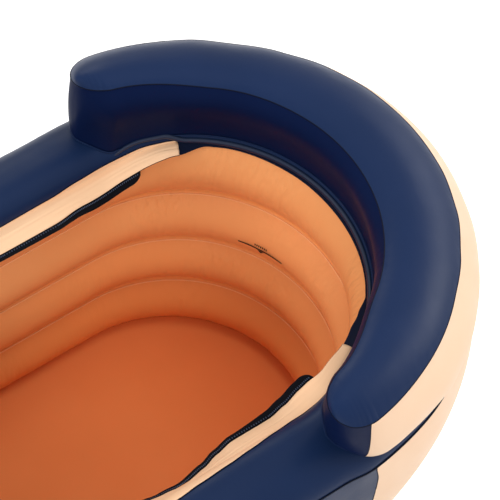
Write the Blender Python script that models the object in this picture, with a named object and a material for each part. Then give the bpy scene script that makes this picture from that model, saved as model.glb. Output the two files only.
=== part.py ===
"""Adult inflatable bathtub with a horseshoe backrest and a zip-on cover rolled back to its foot half.

Metres, +Z up. +X points to the head end, Y runs across the tub, and the origin is the bottom centre.
Every ring-shaped skin is a profile swept round one plan: a head arc, two straight sides and a foot arc.
A profile is given twice, at the side (y, z) and at the head tip (x, z from the head arc's centre).
"""

import math
from typing import NamedTuple

import bmesh
import bpy
from mathutils import Matrix, Vector

# Film and clearances
SKIN = 0.0008
GAP = 0.0003
CUT_OVERRUN = 0.004
MITRE_LIMIT_SHARE = 0.5
MERGE_SHARE = 0.01
SMOOTH_DEGREES = 40.0

# Overall plan
TUB_LENGTH = 1.600
OUTER_HALF_WIDTH = 0.386
HEAD_EXTRA_REACH = 0.074
HEAD_REACH = OUTER_HALF_WIDTH + HEAD_EXTRA_REACH
HEAD_STRETCH_SHARE = 1.024
HEAD_SEGMENTS = 18
FOOT_SEGMENTS = 17
LIFT_ANGLE_SHARE = 0.5

# Inner wall of four stacked ribs
WALL_WIDTH = 0.125
WALL_LEAN = 0.026
WELD_HALF_WIDTH = OUTER_HALF_WIDTH - WALL_WIDTH
FLOOR_HALF_WIDTH = WELD_HALF_WIDTH - WALL_LEAN
RIB_PITCH = 0.112
TOP_RIB_HEIGHT = 0.103
HEAD_RISE = 0.031
RIB_DEPTH = 0.024
RIB_STEPS = 6
CREASE_LEAN_SHARES = (0.31, 0.52, 1.04)
WELD_HEIGHT_SIDE = RIB_PITCH * len(CREASE_LEAN_SHARES) + TOP_RIB_HEIGHT
WELD_HEIGHT_HEAD = WELD_HEIGHT_SIDE + HEAD_RISE

# Outer wall
BASE_TUCK = 0.046
SEAM_TUCK = 0.006
SEAM_DROP_SIDE = 0.019
SEAM_DROP_HEAD = 0.040
BASE_HALF_WIDTH = OUTER_HALF_WIDTH - BASE_TUCK
SEAM_HALF_WIDTH = OUTER_HALF_WIDTH - SEAM_TUCK
SEAM_HEIGHT_SIDE = WELD_HEIGHT_SIDE - SEAM_DROP_SIDE
SEAM_HEIGHT_HEAD = WELD_HEIGHT_HEAD - SEAM_DROP_HEAD
WALL_STEPS = 9
WALL_FULLNESS_SHARE = 1.5
COLOUR_SEAM_DEGREES = 83.0

# Rim ring
RIM_CROWN_SIDE = 0.038
RIM_CROWN_HEAD = 0.036
RIM_PILLOW_SHARES = (2.5, 0.55)
RIM_STEPS = 12
RIM_BOTTOM_SAG = 0.012
RIM_BOTTOM_STEPS = 4
PIPING_RADIUS = 0.0025
PIPING_SIDES = 8

# Backrest
BACKREST_SETBACK_INNER = 0.007
BACKREST_SETBACK_OUTER = 0.008
BACKREST_RISE_INNER = 0.130
BACKREST_RISE_OUTER = 0.142
BACKREST_TOP_INNER = WELD_HALF_WIDTH + BACKREST_SETBACK_INNER
BACKREST_TOP_OUTER = OUTER_HALF_WIDTH - BACKREST_SETBACK_OUTER
BACKREST_SEAM_HEIGHT_INNER = WELD_HEIGHT_HEAD + BACKREST_RISE_INNER
BACKREST_SEAM_HEIGHT_OUTER = SEAM_HEIGHT_HEAD + BACKREST_RISE_OUTER
BACKREST_DOME = 0.022
BACKREST_INNER_BULGE = 0.008
BACKREST_OUTER_BULGE_SIDE = 0.014
BACKREST_OUTER_BULGE_HEAD = 0.024
BACKREST_WALL_STEPS = 4
BACKREST_LIFT = 0.0006
BACKREST_END_LIFT = 0.0040
BACKREST_TOP_OVERHANG = 0.005
BACKREST_FOOT_OVERHANG = 0.002
BACKREST_ACROSS = 8
BACKREST_FOOT_STEPS = 2
BACKREST_END_DEGREES = 60.0
BACKREST_OVERHANG_SHARES = (0.40, 0.75, 0.93)
BACKREST_OUTER_TURN_SHARE = 0.75
BACKREST_INNER_ROUND_SHARE = 1.5
BACKREST_CLOSED_SHARE = 0.10

# Cover flange, zipper and cover
FLANGE_START_DEGREES = 60.0
FLANGE_WIDTH = 0.040
FLANGE_DROP = 0.012
TAPE_WIDTH = 0.012
TAPE_THICKNESS = 0.0014
COVER_FRONT_X = -0.110
ROLL_RADIUS = 0.030
ROLL_HALF_TURNS = 9
ROLL_PITCH = 0.004
ROLL_SEGMENTS = 18
ROLL_SIDE_MARGIN = 0.006

# Zip slider and its pull
SLIDER_LENGTH = 0.014
SLIDER_PLATE = 0.0012
SLIDER_BRIDGE = 0.0025
SLIDER_OVERLAP = 0.009
LUG_WIDTH = 0.0012
LUG_HEIGHT = 0.0034
LUG_LENGTH = 0.004
PULL_WIDTH = 0.004
PULL_LENGTH = 0.024
PULL_THICKNESS = 0.0016
PULL_GRIP_WIDTH = 0.007
PULL_GRIP_SHARE = 0.55
PULL_GRIP_INSET_SHARE = 0.999
PULL_BARREL_SHARE = 0.99

# Air valves
VALVE_BORE = 0.0065
VALVE_TUBE = 0.0090
VALVE_FLANGE = 0.0170
VALVE_FLANGE_THICKNESS = 0.0020
VALVE_DEPTH = 0.0160
VALVE_CAP = 0.0100
VALVE_CAP_THICKNESS = 0.0030
VALVE_PLUG_DEPTH = 0.0040
STRAP_WIDTH = 0.0060
STRAP_THICKNESS = 0.0014
STRAP_START_SHARE = 0.8
HINGE_BARREL = 0.0012
HINGE_BARREL_SHARE = 1.1
ROUND_SIDES = 20
WALL_VALVE_FACET = 6
WALL_VALVE_LEVEL = 5
RIM_VALVE_FACET = 11
BACKREST_VALVE_DEGREES = 45.0
BACKREST_VALVE_LEVEL = 1

# Drain through the foot wall
DRAIN_HEIGHT = 0.056
DRAIN_BORE = 0.0120
DRAIN_PIPE = 0.0150
DRAIN_FLANGE = 0.0200
DRAIN_FLANGE_THICKNESS = 0.0020
DRAIN_CAP = 0.0140
DRAIN_CAP_THICKNESS = 0.0026
DRAIN_CAP_PLUG_DEPTH = 0.0040
DRAIN_STOPPER_DEPTH = 0.0140
DRAIN_STOPPER_HEAD = 0.0170
DRAIN_STOPPER_THICKNESS = 0.0040

# Values that follow from the sizes above
HEAD_X = TUB_LENGTH / 2 - HEAD_REACH
FOOT_X = OUTER_HALF_WIDTH * math.cos(math.pi / 2 / FOOT_SEGMENTS) - TUB_LENGTH / 2
WELD_STEP = SKIN + GAP
BASE_TOP = SKIN + GAP

NAVY = (0.020, 0.035, 0.105, 1.0)
PEACH = (0.940, 0.640, 0.420, 1.0)
ORANGE = (0.620, 0.190, 0.060, 1.0)
BLACK = (0.012, 0.012, 0.014, 1.0)
SILVER = (0.600, 0.600, 0.610, 1.0)
CLEAR_GREY = (0.700, 0.710, 0.720, 1.0)


class Station(NamedTuple):
    """One place on the plan: how far a half width goes along X and Y, and a tip's extra reach along X."""

    x0: float
    along: float
    across: float
    spread: float
    lift: float


class Profile(NamedTuple):
    """A skin's two faces, each as points at the side and at the head tip."""

    side: list
    tip: list
    side_back: list
    tip_back: list


def mix(a, b, t):
    return a + (b - a) * t


def smooth(t):
    t = min(1.0, max(0.0, t))
    return t * t * (3.0 - 2.0 * t)


def clear_scene():
    for item in list(bpy.data.objects):
        bpy.data.objects.remove(item, do_unlink=True)


def material(name, colour, roughness, metallic=0.0):
    found = bpy.data.materials.new(name)
    found.use_nodes = True
    shader = found.node_tree.nodes["Principled BSDF"]
    shader.inputs["Base Color"].default_value = colour
    shader.inputs["Roughness"].default_value = roughness
    shader.inputs["Metallic"].default_value = metallic
    found.diffuse_color = colour
    return found


def new_object(name, bm, colour, roughness=0.35, metallic=0.0):
    bmesh.ops.recalc_face_normals(bm, faces=bm.faces)
    mesh = bpy.data.meshes.new(name)
    bm.to_mesh(mesh)
    bm.free()
    mesh.shade_smooth()
    mesh.set_sharp_from_angle(angle=math.radians(SMOOTH_DEGREES))
    item = bpy.data.objects.new(name, mesh)
    bpy.context.collection.objects.link(item)
    mesh.materials.append(material(name + "_finish", colour, roughness, metallic))
    return item


# Plan stations

def head_station(degrees):
    """A place on the head arc, on the chord between grid angles, so that every skin shares its facets."""
    step = 180.0 / HEAD_SEGMENTS
    index = min(HEAD_SEGMENTS - 1, max(0, math.floor((degrees + 90.0) / step)))
    part = (degrees + 90.0) / step - index
    first = math.radians(index * step - 90.0)
    last = math.radians((index + 1) * step - 90.0)
    along = mix(math.cos(first), math.cos(last), part)
    across = mix(math.sin(first), math.sin(last), part)
    spread = mix(head_spread(math.cos(first)), head_spread(math.cos(last)), part)
    lift = mix(head_lift(math.cos(first)), head_lift(math.cos(last)), part)
    return Station(HEAD_X, along, across, spread, lift)


def head_spread(along):
    return 1.0 - (1.0 - along) ** 2


def head_lift(along):
    return smooth(along / LIFT_ANGLE_SHARE)


def foot_station(index):
    """A place on the foot arc, counted in its segments from the left side, with parts along a chord."""
    step = math.pi / FOOT_SEGMENTS
    whole = min(FOOT_SEGMENTS - 1, math.floor(index))
    first = math.pi / 2 + whole * step
    part = index - whole
    along = mix(math.cos(first), math.cos(first + step), part)
    across = mix(math.sin(first), math.sin(first + step), part)
    return Station(FOOT_X, along, across, 0.0, 0.0)


def head_arc(start, stop):
    """Stations from one angle to another, both ends exact, with every grid angle between them."""
    step = 180.0 / HEAD_SEGMENTS
    inner = [k * step - 90.0 for k in range(HEAD_SEGMENTS + 1)]
    kept = [a for a in inner if start + step / 4 < a < stop - step / 4]
    return [head_station(a) for a in [start] + kept + [stop]]


def foot_arc(start, stop):
    kept = [k for k in range(FOOT_SEGMENTS + 1) if start < k < stop]
    return [foot_station(k) for k in [start] + kept + [stop]]


def whole_ring():
    return head_arc(-90.0, 90.0) + foot_arc(0, FOOT_SEGMENTS)


def place(side, tip, station):
    reach = side[0] * station.along + (tip[0] - side[0]) * station.spread
    return Vector((station.x0 + reach, side[0] * station.across, mix(side[1], tip[1], station.lift)))


# Profiles

def offset(points, thickness):
    """The polyline moved to its left by the thickness, with mitred corners."""
    moved = []
    for index, point in enumerate(points):
        before = Vector(points[max(0, index - 1)])
        here = Vector(point)
        after = Vector(points[min(len(points) - 1, index + 1)])
        first = (here - before).normalized() if index else (after - here).normalized()
        last = (after - here).normalized() if index < len(points) - 1 else first
        normal = Vector((-first.y - last.y, first.x + last.x)).normalized()
        corner = max(MITRE_LIMIT_SHARE, normal.dot(Vector((-first.y, first.x))))
        moved.append(tuple(here + normal * (thickness / corner)))
    return moved


def profile(side, tip, thickness):
    return Profile(side, tip, offset(side, thickness), offset(tip, thickness))


def crease_widths(stretch):
    """Half widths of the floor corner, the creases between ribs and the top weld."""
    span = WELD_HALF_WIDTH - FLOOR_HALF_WIDTH
    creases = [FLOOR_HALF_WIDTH + span * share for share in CREASE_LEAN_SHARES]
    return [width * stretch for width in [FLOOR_HALF_WIDTH] + creases + [WELD_HALF_WIDTH]]


def crease_heights(weld_height):
    creases = [RIB_PITCH * (k + 1) for k in range(len(CREASE_LEAN_SHARES))]
    return [BASE_TOP] + creases + [weld_height]


def rib_line(stretch, weld_height):
    """The inner wall from the floor corner up: one bulge toward the bather for each rib."""
    widths = crease_widths(stretch)
    heights = crease_heights(weld_height)
    points = [(widths[0], heights[0])]
    for low in range(len(widths) - 1):
        for step in range(1, RIB_STEPS + 1):
            part = step / RIB_STEPS
            bulge = RIB_DEPTH * math.sin(math.pi * part)
            width = mix(widths[low], widths[low + 1], part) - bulge
            points.append((width, mix(heights[low], heights[low + 1], part)))
    return points


def tip_reach(width):
    """How far a width beyond the opening reaches at the head tip, where the wall is thicker."""
    inner = WELD_HALF_WIDTH * HEAD_STRETCH_SHARE
    return inner + (width - WELD_HALF_WIDTH) * (HEAD_REACH - inner) / (OUTER_HALF_WIDTH - WELD_HALF_WIDTH)


def wall_line(base, seam, widest, seam_height):
    """The outer wall from the bottom up, fullest above its middle and pinched at both welds."""
    parts = [(1.0 - math.cos(math.pi * step / WALL_STEPS)) / 2 for step in range(WALL_STEPS + 1)]
    fullness = [math.sin(math.pi * part ** WALL_FULLNESS_SHARE) for part in parts]
    straight = [mix(base, seam, part) for part in parts]
    bulge = min((widest - width) / full for width, full in zip(straight[1:-1], fullness[1:-1]))
    points = []
    for part, full, width in zip(parts, fullness, straight):
        points.append((width + bulge * full, mix(BASE_TOP, seam_height, part)))
    return points


def outer_wall_profile():
    side = wall_line(BASE_HALF_WIDTH, SEAM_HALF_WIDTH, OUTER_HALF_WIDTH, SEAM_HEIGHT_SIDE)
    tip = wall_line(tip_reach(BASE_HALF_WIDTH), tip_reach(SEAM_HALF_WIDTH), HEAD_REACH, SEAM_HEIGHT_HEAD)
    return profile(side, tip, SKIN)


def pillow_share(part):
    """Height of a full, square-shouldered air ring across its width, from 0 at each weld to 1."""
    square, steep = RIM_PILLOW_SHARES
    return (1.0 - abs(2.0 * part - 1.0) ** square) ** steep


def dome_share(part):
    """Height of a flatter cushion top across its width, from 0 at each seam to 1."""
    return 1.0 - (2.0 * part - 1.0) ** 2


def rim_line(weld, seam, crown):
    """The rim's upper face from the inner weld out to the seam."""
    points = []
    for step in range(RIM_STEPS + 1):
        part = rim_part(step)
        height = mix(weld[1], seam[1], part) + crown * pillow_share(part)
        points.append((mix(weld[0], seam[0], part), height))
    return points


def rim_ends():
    """The inner weld and the outer seam of the rim's upper skin, at the side and at the head tip."""
    up = 2 * WELD_STEP + SKIN
    weld_side = (WELD_HALF_WIDTH, WELD_HEIGHT_SIDE + up)
    weld_tip = (WELD_HALF_WIDTH * HEAD_STRETCH_SHARE, WELD_HEIGHT_HEAD + up)
    seam_side = (SEAM_HALF_WIDTH, SEAM_HEIGHT_SIDE + up)
    seam_tip = (tip_reach(SEAM_HALF_WIDTH), SEAM_HEIGHT_HEAD + up)
    return weld_side, seam_side, weld_tip, seam_tip


def rim_top_profile():
    weld_side, seam_side, weld_tip, seam_tip = rim_ends()
    side = rim_line(weld_side, seam_side, RIM_CROWN_SIDE)
    tip = rim_line(weld_tip, seam_tip, RIM_CROWN_HEAD)
    return profile(side, tip, -SKIN)


def read_line(points, part):
    """A point on a polyline, where part runs over its own widths from 0 to 1."""
    wanted = mix(points[0][0], points[-1][0], part)
    for low, high in zip(points, points[1:]):
        if wanted <= high[0] or high is points[-1]:
            share = (wanted - low[0]) / (high[0] - low[0])
            return (wanted, mix(low[1], high[1], share))
    return points[-1]


def width_at(points, height):
    """The width of a rising polyline at a height."""
    for low, high in zip(points, points[1:]):
        if low[1] <= height <= high[1]:
            return mix(low[0], high[0], (height - low[1]) / (high[1] - low[1]))
    return points[-1][0]


# Meshes

def add_rows(bm, rows):
    return [[bm.verts.new(point) for point in row] for row in rows]


def join_rows(bm, rows, closed):
    """Quads between each row of vertices and the next."""
    count = len(rows) if closed else len(rows) - 1
    for index in range(count):
        this, following = rows[index], rows[(index + 1) % len(rows)]
        for k in range(len(this) - 1):
            bm.faces.new((this[k], this[k + 1], following[k + 1], following[k]))


def join_loops(bm, loops):
    """Quads between each closed loop of vertices and the next, with a cap on the first and the last."""
    for this, following in zip(loops, loops[1:]):
        for k in range(len(this)):
            n = (k + 1) % len(this)
            bm.faces.new((this[k], this[n], following[n], following[k]))
    bm.faces.new(loops[0])
    bm.faces.new(loops[-1])


def shell(front, back, closed):
    """A thin closed body from two matching grids of points."""
    bm = bmesh.new()
    outside = add_rows(bm, front)
    inside = add_rows(bm, back)
    join_rows(bm, outside, closed)
    join_rows(bm, inside, closed)
    join_rows(bm, [[a[0], b[0]] for a, b in zip(outside, inside)], closed)
    join_rows(bm, [[a[-1], b[-1]] for a, b in zip(outside, inside)], closed)
    if not closed:
        join_rows(bm, [outside[0], inside[0]], False)
        join_rows(bm, [outside[-1], inside[-1]], False)
    return bm


def sweep(name, shape, stations, closed, colour, roughness=0.35):
    front = [[place(a, b, s) for a, b in zip(shape.side, shape.tip)] for s in stations]
    back = [[place(a, b, s) for a, b in zip(shape.side_back, shape.tip_back)] for s in stations]
    return new_object(name, shell(front, back, closed), colour, roughness)


def tube_sweep(name, side, tip, stations, colour, roughness=0.3):
    """A solid bead whose closed outline runs along the stations, capped at both ends."""
    bm = bmesh.new()
    join_loops(bm, add_rows(bm, [[place(a, b, s) for a, b in zip(side, tip)] for s in stations]))
    return new_object(name, bm, colour, roughness)


def plate(name, outline, low, high, colour, roughness=0.35):
    """A flat sheet with the given plan."""
    bm = bmesh.new()
    join_loops(bm, add_rows(bm, [[(x, y, level) for x, y in outline] for level in (low, high)]))
    return new_object(name, bm, colour, roughness)


def plan_outline(width, reach, stations):
    return [place((width, 0.0), (reach, 0.0), s).xy[:] for s in stations]


def add_box(bm, low, high):
    corners = []
    for z in (low[2], high[2]):
        plan = ((low[0], low[1]), (high[0], low[1]), (high[0], high[1]), (low[0], high[1]))
        corners.append([(x, y, z) for x, y in plan])
    join_loops(bm, add_rows(bm, corners))


def box_object(name, low, high):
    bm = bmesh.new()
    add_box(bm, low, high)
    return helper(name, bm)


def helper(name, bm):
    """A shape that only cuts or joins another."""
    bmesh.ops.recalc_face_normals(bm, faces=bm.faces)
    mesh = bpy.data.meshes.new(name)
    bm.to_mesh(mesh)
    bm.free()
    item = bpy.data.objects.new(name, mesh)
    bpy.context.collection.objects.link(item)
    item.hide_render = True
    item.display_type = "WIRE"
    return item


def combine(item, tool, operation):
    modifier = item.modifiers.new(tool.name, "BOOLEAN")
    modifier.operation = operation
    modifier.solver = "EXACT"
    modifier.object = tool


def rod(name, radius, start, stop, frame):
    """A cylinder along the frame's Z, as a helper."""
    bm = bmesh.new()
    bmesh.ops.create_cone(
        bm, cap_ends=True, segments=ROUND_SIDES, radius1=radius, radius2=radius, depth=stop - start
    )
    bmesh.ops.translate(bm, verts=bm.verts, vec=(0.0, 0.0, (start + stop) / 2))
    item = helper(name, bm)
    item.matrix_world = frame
    return item


def turned(points, closed_ring):
    """A body turned round Z. An open outline starts and ends on the axis."""
    bm = bmesh.new()
    rows = []
    for k in range(ROUND_SIDES):
        angle = 2 * math.pi * k / ROUND_SIDES
        rows.append([(r * math.cos(angle), r * math.sin(angle), z) for r, z in points])
    if closed_ring:
        rings = add_rows(bm, [row + [row[0]] for row in rows])
        join_rows(bm, rings, True)
        bmesh.ops.remove_doubles(bm, verts=bm.verts, dist=GAP * MERGE_SHARE)
        return bm
    rings = add_rows(bm, [row[1:-1] for row in rows])
    join_rows(bm, rings, True)
    bm.faces.new([ring[0] for ring in rings])
    bm.faces.new([ring[-1] for ring in rings])
    return bm


# Bottom, walls and webs

def make_floor():
    ring = whole_ring()
    base = plan_outline(BASE_HALF_WIDTH, tip_reach(BASE_HALF_WIDTH), ring)
    plate("base_sheet", base, 0.0, SKIN, NAVY, 0.45)
    wall = inner_wall_profile()
    width = width_at(wall.side, BASE_TOP + SKIN) - GAP
    reach = width_at(wall.tip, BASE_TOP + SKIN) - GAP
    inner = plan_outline(width, reach, ring)
    plate("floor_sheet", inner, BASE_TOP, BASE_TOP + SKIN, ORANGE, 0.40)


def inner_wall_profile():
    side = rib_line(1.0, WELD_HEIGHT_SIDE)
    tip = rib_line(HEAD_STRETCH_SHARE, WELD_HEIGHT_HEAD)
    return profile(side, tip, -SKIN)


def make_inner_wall():
    return sweep("inner_wall", inner_wall_profile(), whole_ring(), True, ORANGE, 0.32)


def make_outer_walls():
    shape = outer_wall_profile()
    edge = COLOUR_SEAM_DEGREES
    part = math.degrees(GAP / SEAM_HALF_WIDTH)
    sweep("outer_wall_head", shape, head_arc(-edge, edge), False, PEACH, 0.32)
    around = head_arc(edge + part, 90.0) + foot_arc(0, FOOT_SEGMENTS) + head_arc(-90.0, -edge - part)
    return sweep("outer_wall_body", shape, around, False, NAVY, 0.30)


def web_ends(outer, levels):
    """How far a web reaches at the side and at the head tip, clear of the outer skin all the way round."""
    ends = []
    for own, other in ((outer.side_back, outer.tip_back), (outer.tip_back, outer.side_back)):
        swapped = [(a[0], b[1]) for a, b in zip(own, other)]
        ends.append(min(width_at(line, level) for line in (own, swapped) for level in levels) - GAP)
    return ends


def make_webs():
    """Tension webs in the wall, from each crease to the outer skin, open at the foot to let the air pass."""
    inner = inner_wall_profile()
    outer = outer_wall_profile()
    middle = FOOT_SEGMENTS // 2
    stations = foot_arc(middle + 1, FOOT_SEGMENTS) + head_arc(-90.0, 90.0) + foot_arc(0, middle)
    for k, height in enumerate(crease_heights(0.0)[1:-1]):
        corner = RIB_STEPS * (k + 1)
        low, high = height - SKIN / 2, height + SKIN / 2
        side_end, tip_end = web_ends(outer, (low, high))
        side = [(inner.side_back[corner][0] + GAP, low), (side_end, low)]
        tip = [(inner.tip_back[corner][0] + GAP, low), (tip_end, low)]
        side_back = [(width, high) for width, _ in side]
        tip_back = [(width, high) for width, _ in tip]
        shape = Profile(side, tip, side_back, tip_back)
        sweep("tension_web_%d" % (k + 1), shape, stations, False, CLEAR_GREY, 0.5)


def make_rim_top():
    return sweep("rim_top", rim_top_profile(), whole_ring(), True, NAVY, 0.28)


def rim_low_ends():
    """The ends of the rim's lower skin, a weld below those of the upper one."""
    return [(width, height - WELD_STEP - SKIN) for width, height in rim_ends()]


def sagging_line(weld, seam):
    points = []
    for step in range(RIM_BOTTOM_STEPS + 1):
        part = step / RIM_BOTTOM_STEPS
        sag = RIM_BOTTOM_SAG * math.sin(math.pi * part)
        points.append((mix(weld[0], seam[0], part), mix(weld[1], seam[1], part) - sag))
    return points


def make_rim_bottom():
    weld_side, seam_side, weld_tip, seam_tip = rim_low_ends()
    side, tip = sagging_line(weld_side, seam_side), sagging_line(weld_tip, seam_tip)
    above_side = [(width, height + SKIN) for width, height in side]
    above_tip = [(width, height + SKIN) for width, height in tip]
    sweep("rim_bottom", Profile(side, tip, above_side, above_tip), whole_ring(), True, NAVY, 0.5)


def bead(weld):
    """The piping's round outline, beside the weld."""
    centre = weld[0] - PIPING_RADIUS - GAP
    points = []
    for k in range(PIPING_SIDES):
        angle = 2 * math.pi * (k + 0.5) / PIPING_SIDES
        points.append((centre + PIPING_RADIUS * math.cos(angle), weld[1] + PIPING_RADIUS * math.sin(angle)))
    return points


def make_piping():
    """The piping round the head, between the cut ends of the two flanges."""
    weld_side, _, weld_tip, _ = rim_low_ends()
    reach = FLANGE_START_DEGREES - math.degrees(GAP / WELD_HALF_WIDTH)
    tube_sweep("rim_piping", bead(weld_side), bead(weld_tip), head_arc(-reach, reach), NAVY, 0.2)


# Backrest

def backrest_stations():
    """The horseshoe from its right end to its left: top and foot stations and its sides' drawn-in shares."""
    arc = [(s, s, 0.0, 0.0) for s in head_arc(-BACKREST_END_DEGREES, BACKREST_END_DEGREES)]
    arc_run = BACKREST_TOP_INNER * math.radians(90.0 - BACKREST_END_DEGREES)
    whole_run = arc_run + BACKREST_TOP_OVERHANG
    step = 180.0 / HEAD_SEGMENTS
    closed = []
    for k in range(1, round((90.0 - BACKREST_END_DEGREES) / step) + 1):
        degrees = BACKREST_END_DEGREES + k * step
        run = BACKREST_TOP_INNER * math.radians(degrees - BACKREST_END_DEGREES)
        station = head_station(degrees)
        closed.append((station, station, *drawn_in(run / whole_run)))
    for share in BACKREST_OVERHANG_SHARES:
        top = head_station(90.0)._replace(x0=HEAD_X - share * BACKREST_TOP_OVERHANG)
        foot = top._replace(x0=HEAD_X - share * BACKREST_FOOT_OVERHANG)
        closed.append((top, foot, *drawn_in((arc_run + share * BACKREST_TOP_OVERHANG) / whole_run)))
    mirrored = []
    for top, foot, inner, outer in reversed(closed):
        mirrored.append((top._replace(across=-top.across), foot._replace(across=-foot.across), inner, outer))
    return mirrored + arc + closed


def drawn_in(part):
    """How far the inner and outer sides of an end are drawn to its middle, from 0 to nearly 1 at the tip."""
    bend = BACKREST_INNER_ROUND_SHARE
    inner = 1.0 - (1.0 - part ** bend) ** (1.0 / bend)
    along = max(0.0, (part - BACKREST_OUTER_TURN_SHARE) / (1.0 - BACKREST_OUTER_TURN_SHARE))
    return inner, 1.0 - math.sqrt(1.0 - along * along)


def seam_point(width, height, station):
    return place((width, height), (width * HEAD_STRETCH_SHARE, height), station)


def seam_row(station, inner, outer):
    """The two top seams at a station, as points."""
    low = seam_point(BACKREST_TOP_INNER, BACKREST_SEAM_HEIGHT_INNER, station)
    high = seam_point(BACKREST_TOP_OUTER, BACKREST_SEAM_HEIGHT_OUTER, station)
    centre = (low + high) / 2
    return low.lerp(centre, inner), high.lerp(centre, outer)


def rim_part(step):
    """How far across the rim its own point of this number lies."""
    return (1.0 - math.cos(math.pi * step / RIM_STEPS)) / 2


def foot_parts(inner, outer):
    """Where the backrest's bottom skin has its points: on the rim's own, drawn in at the ends."""
    steps = range(BACKREST_FOOT_STEPS, RIM_STEPS - BACKREST_FOOT_STEPS + 1)
    first, last = rim_part(steps[0]), rim_part(steps[-1])
    centre = (first + last) / 2
    low, high = mix(first, centre, inner), mix(last, centre, outer)
    return [mix(low, high, (rim_part(step) - first) / (last - first)) for step in steps]


def base_lift(inner):
    return BACKREST_LIFT + BACKREST_END_LIFT * smooth(inner / BACKREST_CLOSED_SHARE)


def rim_point(rim, part, station, lift):
    point = place(read_line(rim.side, part), read_line(rim.tip, part), station)
    return point + Vector((0.0, 0.0, lift))


def make_backrest_base(rim):
    front, back = [], []
    for _, station, inner, outer in backrest_stations():
        lift = base_lift(inner)
        parts = foot_parts(inner, outer)
        front.append([rim_point(rim, part, station, lift) for part in parts])
        back.append([rim_point(rim, part, station, lift + SKIN) for part in parts])
    new_object("backrest_base", shell(front, back, False), NAVY, 0.4)


def make_backrest_top():
    front, back = [], []
    widest = BACKREST_TOP_OUTER - BACKREST_TOP_INNER
    for station, _, inner, outer in backrest_stations():
        low, high = seam_row(station, inner, outer)
        rise = BACKREST_DOME * math.sqrt(min(1.0, (high - low).length / widest))
        row = []
        for k in range(BACKREST_ACROSS + 1):
            part = (1.0 - math.cos(math.pi * k / BACKREST_ACROSS)) / 2
            dome = Vector((0.0, 0.0, GAP + rise * dome_share(part)))
            row.append(low.lerp(high, part) + dome)
        front.append(row)
        back.append([point + Vector((0.0, 0.0, SKIN)) for point in row])
    new_object("backrest_top", shell(front, back, False), NAVY, 0.25)


def backrest_outline(rim):
    """Foot, top and bulge of the backrest's wall at each station, for its inner side and its outer side."""
    inner_side, outer_side = [], []
    for station, foot, inner, outer in backrest_stations():
        low, high = seam_row(station, inner, outer)
        parts = foot_parts(inner, outer)
        lift = base_lift(inner) + SKIN + GAP + SKIN
        full = mix(BACKREST_OUTER_BULGE_SIDE, BACKREST_OUTER_BULGE_HEAD, station.lift)
        bulge = mix(full, BACKREST_INNER_BULGE, outer)
        inner_side.append((rim_point(rim, parts[0], foot, lift), low, BACKREST_INNER_BULGE))
        outer_side.append((rim_point(rim, parts[-1], foot, lift), high, bulge))
    return inner_side, outer_side


def wall_rows(outline):
    """The outer and inner faces of the wall round the closed outline, bulging away from its middle."""
    front, back = [], []
    count = len(outline)
    for index, (foot, top, bulge) in enumerate(outline):
        before = outline[index - 1]
        after = outline[(index + 1) % count]
        way = (after[0] + after[1] - before[0] - before[1]).xy.normalized()
        away = Vector((-way.y, way.x, 0.0))
        row, behind = [], []
        for step in range(BACKREST_WALL_STEPS + 1):
            part = step / BACKREST_WALL_STEPS
            point = foot.lerp(top, part) + away * bulge * math.sin(math.pi * part)
            row.append(point)
            behind.append(point - away * SKIN)
        front.append(row)
        back.append(behind)
    return front, back


def split_walls(rim):
    """Rows of the outer wall, and of the inner wall with both ends, cut at the two upright seams."""
    inner_side, outer_side = backrest_outline(rim)
    count = len(inner_side)
    turn = len(BACKREST_OVERHANG_SHARES)
    outer_rows, inner_rows = [], []
    for rows in wall_rows(inner_side + outer_side[::-1]):
        outer_rows.append(rows[count + turn:2 * count - turn])
        inner_rows.append(rows[2 * count - turn - 1:] + rows[:count + turn + 1])
    return outer_rows, inner_rows


def make_backrest_walls(rim):
    outer_rows, inner_rows = split_walls(rim)
    front, back = [pull_in(rows) for rows in inner_rows]
    new_object("backrest_inner_wall", shell(front, back, False), NAVY, 0.25)
    return new_object("backrest_outer_wall", shell(*outer_rows, False), PEACH, 0.3)


def pull_in(rows):
    """The rows with both end rows moved back by the gap, clear of the wall that they meet."""
    moved = [list(row) for row in rows]
    for end, following in ((0, 1), (-1, -2)):
        for k, point in enumerate(rows[end]):
            way = (rows[following][k] - point).normalized()
            moved[end][k] = point + way * GAP
    return moved


# Cover flange, zipper and cover

def flange_edges():
    """Where the flange starts and ends and the zipper tape's edges lie, as widths, with their heights."""
    outer = WELD_HALF_WIDTH - GAP
    inner = outer - math.sqrt(FLANGE_WIDTH ** 2 - FLANGE_DROP ** 2)
    tape_outer = inner - GAP
    tape_inner = tape_outer - TAPE_WIDTH
    return outer, inner, tape_outer, tape_inner


def edge_height(tip):
    """Height of the flange's outer edge: beside the weld, clear of the skins that meet there."""
    return (WELD_HEIGHT_HEAD if tip else WELD_HEIGHT_SIDE) + WELD_STEP


def tape_height():
    return edge_height(False) - FLANGE_DROP


def side_stations(side):
    """Stations of one side's flange, from its cut end at the head to the middle of the foot."""
    facet = 2 * flange_edges()[3] * math.sin(math.pi / FOOT_SEGMENTS / 2)
    middle = FOOT_SEGMENTS / 2 - GAP / facet
    left = head_arc(FLANGE_START_DEGREES, 90.0) + foot_arc(0, middle)
    return [s._replace(across=s.across * side) for s in left]


def make_flange(name, side):
    outer, inner, _, _ = flange_edges()
    stretch = HEAD_STRETCH_SHARE
    low, high = edge_height(False), edge_height(True)
    line_side = [(outer, low), (inner, low - FLANGE_DROP)]
    line_tip = [(outer * stretch, high), (inner * stretch, high - FLANGE_DROP)]
    raised_side = [(width, height + SKIN) for width, height in line_side]
    raised_tip = [(width, height + SKIN) for width, height in line_tip]
    shape = Profile(line_side, line_tip, raised_side, raised_tip)
    sweep("cover_flange_" + name, shape, side_stations(side), False, PEACH, 0.45)


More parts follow.
